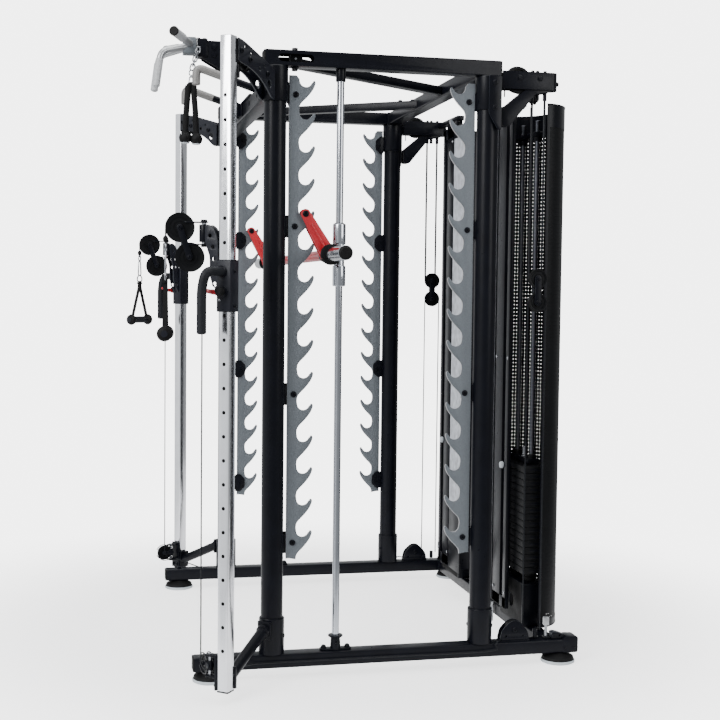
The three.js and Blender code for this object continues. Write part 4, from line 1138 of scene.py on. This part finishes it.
def stack_cover():
    """A front panel with a slot for the pin, and a plain placard beside it towards the cage."""
    part = Part()
    low, high = box_of("stack_cover_right")
    y = low.y
    for x0, x1 in ((308, 395), (425, 460)):
        part.box(x0, x1, y, y + SHEET_THICK, low.z, high.z, BLACK, 1)
        for x in (x0, x1 - 3):
            part.box(x, x + 3, y, y + 14, low.z, high.z, BLACK, 1)
    for z0, z1 in ((low.z, low.z + 42), (high.z - 42, high.z)):
        part.box(308, 460, y, y + SHEET_THICK, z0, z1, BLACK, 1)
        part.box(140, 458, y + 2, y + 8, z0, z1, BLACK, 1)
    part.box(137, 297, y, y + SHEET_THICK, low.z, high.z, BLACK, 1)
    part.box(143, 291, y - 1.2, y + 0.5, low.z + 260, 1998, SIGN, 0.6)
    edge = box_of("stack_shroud_right")[0].x
    part.box(edge, edge + SHEET_THICK, y + 1, STACK_Y - 4, low.z, 2027, BLACK, 0.8)
    for z in (low.z + 60, (low.z + high.z) / 2, high.z - 60):
        for x in (320, 448):
            part.dome_bolt((x, y, z), (0, -1, 0), 6, 4, ZINC)
    return part


def floating_block():
    """Two pulleys one above the other between side straps, hanging on the cable."""
    part = Part()
    for s in (42, -42):
        wheel(part, (WIDE, BLOCK.y, BLOCK.z + s), ALONG_X, 35, 14, NYLON, BLACK)
        for side in (1, -1):
            part.dome_bolt((WIDE + side * 11, BLOCK.y, BLOCK.z + s), (side, 0, 0), 8, 5, BLACK)
    strap = arc(BLOCK.y, BLOCK.z + 42, 12, 0, 180, 8) + arc(BLOCK.y, BLOCK.z - 42, 12, 180, 360, 8)
    for side in (1, -1):
        part.plate(strap, [], at_x(WIDE + side * 9.5), 3, BLACK, DARK_EDGE_HIGHLIGHT_AND_WEAR, bevel=0.6)
    part.box(WIDE - 10, WIDE + 10, BLOCK.y - 8, BLOCK.y + 8, BLOCK.z - 6, BLOCK.z + 6, BLACK, 1.5)
    return part


# ---- pull-up bar and what hangs on it --------------------------------------------------------------
def pull_up_bar():
    """A mast on the front beam with a clamp and two hooked grips, and a bent grip tube on either side."""
    part = Part()
    front = -DEEP - 31.3
    leg_x, leg_y = 255, -604
    for side in (1, -1):
        x = side * leg_x
        leg = bent([(x, -362, 2080), (x, leg_y, 2158), (x, leg_y, 2095)], 30, 8)
        part.tube(leg[:2], 14.5, BLACK, 28)
        grip = [leg[0].lerp(leg[1], 0.6)] + leg[1:]
        part.tube(grip, 15.2, SLEEVE, 28)
        part.lathe([(15.2, 0), (14, 2), (9, 4), (0, 4.4)], leg[-1], DOWN, SLEEVE, 28)
        part.box(x - 20, x + 20, -396, -352, 2066, 2072, BLACK, 1.5)
        part.hex_bolt((side * 226, -376, 2067), UP, 8, 6, BLACK)
    part.box(-272, 272, front - 3, -350, 2060.4, 2067, BLACK, 1.5)
    part.box(-60, 60, front - 5, front, 2012, 2062, BLACK, 1.5)
    mast = [(front - 3, 2012), (-470, 2012), (-480, 2186), (-562, 2231), (-562, 2300), (-425, 2300),
            (-425, 2068), (front - 3, 2064)]
    for x in (-25, 25):
        part.plate(round_corners(mast, 6), [], at_x(x), 5, BLACK, bevel=1)
    inner = [(front - 9, 2018), (-464, 2018), (-474, 2190), (-556, 2235), (-556, 2294), (-431, 2294),
             (-431, 2070), (front - 9, 2066)]
    part.plate(inner, [], at_x(0), 50, BLACK, bevel=1)
    part.box(-33, 33, -584, -540, 2236, 2306, BLACK, 4, 3)
    for y in (-574, -550):
        part.hex_bolt((0, y, 2303), UP, 9, 10, BLACK)
    for side in (1, -1):
        for y, z in ((-515, 2276), (-515, 2246), (-452, 2250)):
            part.hex_bolt((side * 28, y, z), (side, 0, 0), 9, 7, BLACK)
    part.box(-34, 34, -632, -585, 2248, 2310, SILVER, 3)
    part.box(-33, 33, -582.5, -578, 2246, 2308, DULL, 1)
    for side in (1, -1):
        grip_end = Vector((side * 200, -683, 2296))
        grip_start = Vector((side * 22, -604, 2284))
        way = (grip_end - grip_start).normalized()
        part.rod(grip_start, grip_start + way * 96, 14, DULL, 32)
        part.rod(grip_start + way * 94, grip_end - way * 4, 17, GRIP, 32, 2)
        part.rod(grip_end - way * 6, grip_end + way * 1, 18.4, RUBBER, 32, 2)
        hook = bent([(side * 24, -622, 2274), (side * 58, -721, 2246), (side * 60, -739, 2113)], 30, 8)
        part.tube(hook, 12.5, DULL, 24)
        part.lathe([(12.5, 0), (11.5, 3), (7, 5), (0, 5.5)], hook[-1], (0, -0.13, -1), GRIP, 24)
        part.tube(hook[-2:], 14.5, GRIP, 24)
    return part


def rope_attachment():
    """A chain with a snap hook, and a two-ended rope with rubber balls hanging from it."""
    part = Part()
    top, foot = Vector((50, -577, 2266)), Vector((50, -602, 2186))
    down = (foot - top).normalized()
    for k in range(5):
        turn = ALONG_X if k % 2 else down.cross(Vector(ALONG_X))
        link(part, top + down * (10 + 17 * k), down, turn, 26, 15, 2.9)
    end = top + down * 92
    snap_hook(part, end, (0, -0.02, -1), ALONG_Y, 58)
    knot = end + Vector((0, -1, -60))
    loop = [knot + Vector((0, -12, 0)), knot + Vector((0, 0, 9)), knot + Vector((0, 12, 0))]
    part.tube(smooth(loop, 5), 9, WEB, 16)
    ball = [(0, 24), (12, 22), (21, 13), (24, 2), (22, -10), (16, -17), (0, -18)]
    cap = [(16, -17), (16, -19.5), (13, -20.5), (0, -20.5)]
    for y, length in ((-13, 200), (12, 203)):
        tail = knot + Vector((4, y * 1.7, -length))
        rope = [knot + Vector((0, y * 0.9, 2)), knot + Vector((0, y, -40)), knot + Vector((2, y * 1.4, -100)),
                tail]
        part.tube(smooth(rope, 7), 11.5, WEB, 18)
        part.lathe(ball, tail + Vector((0, 0, 2)), UP, RUBBER, 32)
        part.lathe(cap, tail + Vector((0, 0, 2)), UP, RIM, 28)
    return part


# ---- cables ----------------------------------------------------------------------------------------
def beside(y, z):
    """A point beside the column, in the design's axes."""
    return ON_COLUMN @ Vector((0, y, z))


def upright_line(x, y, z0, z1, radius):
    steps = 24
    return Part().tube([(x, y, z0 + (z1 - z0) * k / steps) for k in range(steps + 1)], radius, CABLE, 10)


def stretched(name, x, y, line, blend, moving, radius, side, sign):
    """A straight upright cable between the heights of its ends.

    line is the pair of heights of the cable's ends; blend, the heights where it leaves the frame and joins
    the body, is not used.
    """
    made = shown(f"{name}_{side}", upright_line(x, y, *line, radius).mesh(name, sign < 0))
    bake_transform(made)


def base_cable():
    """The cable's run under the foot pulley, along the base rail and under the rear pulley."""
    outside, middle = WIDE + 42, (BASE_LOW + BASE_HIGH) / 2
    turns = [math.radians(90 * k / 6) for k in range(7)]
    route = [beside(-FOOT_WHEEL_OUT - FOOT_TURN_R, FOOT_WHEEL_Z + 4)]
    route += [beside(-FOOT_WHEEL_OUT - FOOT_TURN_R * math.cos(a), FOOT_WHEEL_Z - FOOT_TURN_R * math.sin(a))
              for a in turns]
    route += smooth([beside(-FOOT_WHEEL_OUT + 14, FOOT_WHEEL_Z - FOOT_TURN_R - 4),
                     (outside + 24, -467, middle + 4), (outside, -377, middle), (outside, 0, middle),
                     (outside, 395, middle), (outside - 1, 424, 84), (outside - 4, 434, 95),
                     (outside - 18, 448, 97), (WIDE + 3, 466, 93)], 6)
    route += [Vector((WIDE, REAR_WHEEL_Y + REAR_TURN_R * math.sin(a),
                      REAR_WHEEL_Z - REAR_TURN_R * math.cos(a)))
              for a in turns]
    part = Part().tube(route, CABLE_R, CABLE, 10)
    over = [(WIDE, y, z) for y, z in arc(TOP_WHEEL_Y, TOP_WHEEL_Z, TOP_WHEEL_R, 0, 180, 12)]
    part.tube(over, CABLE_R, CABLE, 10)
    part.tube([(WIDE, TOP_WHEEL_Y - TOP_WHEEL_R, TOP_WHEEL_Z), (WIDE, 438, 2030)], CABLE_R, CABLE, 10)
    return part.post(WIDE, ANCHOR_Y, 94, 126, 8, BLACK, 20)


def cables():
    """The fixed run on each side, and the upright runs as rows of stretched()'s arguments."""
    fixed, down = base_cable(), beside(-FOOT_WHEEL_OUT - FOOT_TURN_R, 0)
    foot, z, rise_y = FOOT_WHEEL_Z, REAR_WHEEL_Z, REAR_WHEEL_Y + REAR_TURN_R
    low, high, block = BLOCK.z - 90, BLOCK.z + 90, BLOCK.z
    thin, thick = CABLE_R, THICK_CABLE_R
    rows = (
        ("column_cable", down.x, down.y, (foot + 2, 1390), (foot + 40, 1380), "carriage", thin),
        ("block_cable", WIDE, rise_y, (z, block - 40), (z + 40, low), "block", thin),
        ("hanging_cable", WIDE, BLOCK.y - 33, (2040, block + 42), (2030, high), "block", thick),
        ("anchor_cable", WIDE, ANCHOR_Y, (2030, block + 60), (2020, high), "block", thick),
        ("low_cable", WIDE, BLOCK.y + 33, (120, block - 42), (160, low), "block", thin),
        ("stack_cable", STACK_X, STACK_Y, (2040, STACK_TOP + 50), (2000, STACK_TOP + 80), "stack", 2.6))
    for side, sign in (("right", 1), ("left", -1)):
        piece(f"base_cable_{side}", fixed, "frame", "cable_cover", f"cable_{side}", mirrored=sign < 0)
        for row in rows:
            stretched(*row, side, sign)


def top_pulleys():
    """Two small pulleys above each stack, on a bar from the rear strap."""
    part = Part()
    y, z = STACK_Y - 34, 2062
    for x in (STACK_X, STACK_X + 120):
        wheel(part, (x, y, z), ALONG_Y, 30, 14)
        for side in (1, -1):
            cheek = y + side * 11
            part.block(x, 16, cheek, 1.5, 2040, 2110, BLACK, 1)
            part.dome_bolt((x, y + side * 12.5, z), (0, side, 0), 8, 5, BLACK)
    part.box(STACK_X - 30, WIDE - 22, STACK_Y - 50, STACK_Y - 18, 2092, 2112, BLACK, 2)
    return part


def snap_clips():
    """Two spare spring hooks on the rear base beam."""
    part = Part()
    low, high = box_of("rear_base_beam")
    y = low.y - 6
    for x, lean in ((150, 0.05), (420, -0.08)):
        part.post(x, y, high.z - 12, high.z + 2, 5, ZINC, 16)
        link(part, (x, y - 2, high.z - 20), UP, ALONG_X, 22, 16, 2.8)
        snap_hook(part, (x, y - 2, high.z - 26), (lean, -0.05, -1), ALONG_X, 0.6 * (high.z - 4))
    return part


# ---- floor, light and camera -----------------------------------------------------------------------
def studio_world():
    """A white backdrop to the eye, and a softer room of its own brightness on each side in reflections."""
    world = bpy.data.worlds.new("studio")
    world.use_nodes = True
    tree, join = world.node_tree, world.node_tree.links.new
    tree.nodes.clear()
    place = new_node(tree, "TexCoord").outputs["Generated"]
    total = None
    for way, power in (((0, -1, 0), 1.3), (ALONG_Y, 0.35), (ALONG_X, 0.45), ((-1, 0, 0), 0.9),
                       (UP, 0.75), (DOWN, 0.5)):
        facing = new_node(tree, "VectorMath", {1: way}, operation="DOT_PRODUCT")
        square = new_node(tree, "Math", operation="MULTIPLY", use_clamp=True)
        front = new_node(tree, "Math", {1: 0.0}, operation="GREATER_THAN")
        share = new_node(tree, "Math", operation="MULTIPLY")
        add = new_node(tree, "Math", {1: power, 2: 0.0}, operation="MULTIPLY_ADD")
        join(place, facing.inputs[0])
        for socket in (square.inputs[0], square.inputs[1], front.inputs[0]):
            join(facing.outputs["Value"], socket)
        join(square.outputs[0], share.inputs[0])
        join(front.outputs[0], share.inputs[1])
        join(share.outputs[0], add.inputs[0])
        if total:
            join(total, add.inputs[2])
        total = add.outputs[0]
    room = new_node(tree, "Background", {"Color": (0.96, 0.98, 1.0, 1)})
    backdrop = new_node(tree, "Background", {"Color": (1.0, 1.0, 1.0, 1), "Strength": 5.0})
    choose = new_node(tree, "MixShader")
    join(total, room.inputs["Strength"])
    join(new_node(tree, "LightPath").outputs["Is Camera Ray"], choose.inputs[0])
    join(room.outputs[0], choose.inputs[1])
    join(backdrop.outputs[0], choose.inputs[2])
    join(choose.outputs[0], new_node(tree, "OutputWorld").inputs["Surface"])
    return world


def floor_paint():
    """A pale floor under the machine that fades into the backdrop around it."""
    paint = surface("floor_paint", (0.9, 0.9, 0.91), 0.6, vary=0.01, vary_size=1.0)
    tree, join = paint.node_tree, paint.node_tree.links.new
    shader = tree.nodes["Principled BSDF"]
    shader.inputs["Emission Color"].default_value = (1.0, 1.0, 1.0, 1)
    shader.inputs["Emission Strength"].default_value = 0.9
    away = new_node(tree, "VectorMath", operation="LENGTH")
    fade = new_node(tree, "MapRange", {"From Min": 0.9, "From Max": 2.4, "To Min": 0.75, "To Max": 0.0},
                    interpolation_type="SMOOTHSTEP")
    both = new_node(tree, "MixShader")
    join(new_node(tree, "TexCoord").outputs["Object"], away.inputs[0])
    join(away.outputs["Value"], fade.inputs["Value"])
    join(fade.outputs["Result"], both.inputs[0])
    join(new_node(tree, "BsdfTransparent").outputs[0], both.inputs[1])
    join(shader.outputs[0], both.inputs[2])
    join(both.outputs[0], tree.nodes["Material Output"].inputs["Surface"])
    return paint


def studio():
    """The floor, the world and three soft lamps."""
    floor = shown("floor", bpy.data.meshes.new("floor"))
    side = 40.0
    floor.data.from_pydata([(-side, -side, 0), (side, -side, 0), (side, side, 0), (-side, side, 0)], [],
                           [(0, 1, 2, 3)])
    floor.data.materials.append(floor_paint())
    floor.location.z = -0.0005
    bpy.context.scene.world = studio_world()
    for name, place, size, power in (("key", (3.4, -3.8, 3.6), 2.6, 260), ("fill", (4.2, 3.4, 2.6), 2.4, 90),
                                     ("top", (0.4, 0.0, 4.6), 3.2, 120)):
        light = bpy.data.lights.new(name, "AREA")
        light.size, light.energy = size, power
        lamp = shown(name, light)
        lamp.location = place
        aim = Vector((0, 0, 1.1)) - lamp.location
        lamp.rotation_euler = aim.to_track_quat("-Z", "Y").to_euler()


def camera():
    """The view fitted to the machine's rails, uprights and notches."""
    yaw, pitch, roll = (math.radians(a) for a in (12.556, 3.175, 0.622))
    ahead = Vector((-math.cos(yaw) * math.cos(pitch), math.sin(yaw) * math.cos(pitch), -math.sin(pitch)))
    right = ahead.cross(Vector(UP)).normalized()
    up = right.cross(ahead)
    turned_right = right * math.cos(roll) + up * math.sin(roll)
    turned_up = up * math.cos(roll) - right * math.sin(roll)
    lens = bpy.data.cameras.new("camera")
    lens.lens, lens.sensor_width = 63.4615, 36
    lens.clip_end = 200
    made = shown("camera", lens)
    eye = Vector((4994, -1031, 1347)) + SHIFT
    basis = Matrix((turned_right, turned_up, -ahead)).transposed().to_4x4()
    made.matrix_world = Matrix.Translation(eye * MM) @ basis
    bpy.context.scene.camera = made


# ---- assembly --------------------------------------------------------------------------------------
camera()
studio()
pair("base_rail_shell", base_rail(), "frame", "black_paint", "base_rail")
pair("front_upright_tube", upright(-DEEP), "frame", "black_paint", "upright_front")
pair("rear_upright_tube", upright(DEEP), "frame", "black_paint", "upright_rear")
pair("top_rail_shell", top_rail(), "frame", "black_paint", "top_rail")
pair("diagonal_brace", top_brace(), "frame", "black_paint", "top_brace")
pair("front_rack_plate", rack(True), "frame", "silver_paint", "rack_plate_front")
pair("rear_rack_plate", rack(False), "frame", "silver_paint", "rack_plate_rear")
pair("chrome_guide_rod", guide_rod(), "frame", "chrome", "guide_rod")
pair("chrome_column", column(), "frame", "chrome", "pulley_column")
pair("column_head_plates", column_head(), "frame", "black_paint", "column_head_bracket")
piece("column_foot_bracket_right", column_foot(-36), "frame", "black_paint", "column_foot_arm_right")
piece("column_foot_bracket_left", column_foot(24), "frame", "black_paint", "column_foot_arm_left",
      mirrored=True)
piece("rear_base_tube", plain_beam("rear_base_beam", (150, 560)), "frame", "black_paint", "rear_base_beam")
piece("rear_top_tube", plain_beam("rear_top_beam", (300, 600)), "frame", "black_paint", "rear_top_beam")
piece("front_top_tube", front_beam(), "frame", "black_paint", "front_top_beam")
piece("pull_up_station", pull_up_bar(), "frame", "silver_paint", "pull_up_bar")
piece("rope_attachment", rope_attachment(), "frame", "grip_rubber")
piece("spare_snap_hooks", snap_clips(), "frame", "brushed_steel")
pair("stack_guide_rods", stack_rods(), "frame", "chrome", "stack_rods")
pair("weight_plates", lower_stack(), "frame", "cast_plate", "lower_stack")
pair("mesh_shroud", shroud(), "frame", "black_paint", "stack_shroud")
pair("stack_front_panels", stack_cover(), "frame", "black_paint", "stack_cover")
pair("small_top_pulleys", top_pulleys(), "frame", "nylon")
cables()
pair("bar_bearing_housings", bearing(), "bar_carriage", "chrome", "bar_bearing")
piece("barbell", smith_bar(), "bar", "chrome", "smith_bar")
pair("red_hook_arm", hook_arm(), "bar", "red_paint", "hook_arm")
pair("carriage_bracket", carriage(), "carriage", "black_paint", "carriage")
pair("locking_pin", pop_pin(), "pin", "red_paint", "pop_pin")
pair("swivel_arm", swivel(), "swivel", "black_paint", "swivel_block")
pair("upper_wheel", big_wheel(UPPER_WHEEL), "pulley_upper", "nylon", "swivel_pulley_upper")
pair("lower_wheel", big_wheel(LOWER_WHEEL), "pulley_lower", "nylon", "swivel_pulley_lower")
piece("cable_handle_right", handle_part(0), "handle_right", "grip_rubber", "handle_right")
piece("cable_handle_left", handle_part(50), "handle_left", "grip_rubber", "handle_left", mirrored=True)
pair("stack_top_plate", stack_head(), "stack", "cast_plate", "stack_head")
pair("selector_knob", selector(), "selector", "brushed_steel", "selector_pin")
pair("double_pulley_block", floating_block(), "block", "nylon", "floating_block")
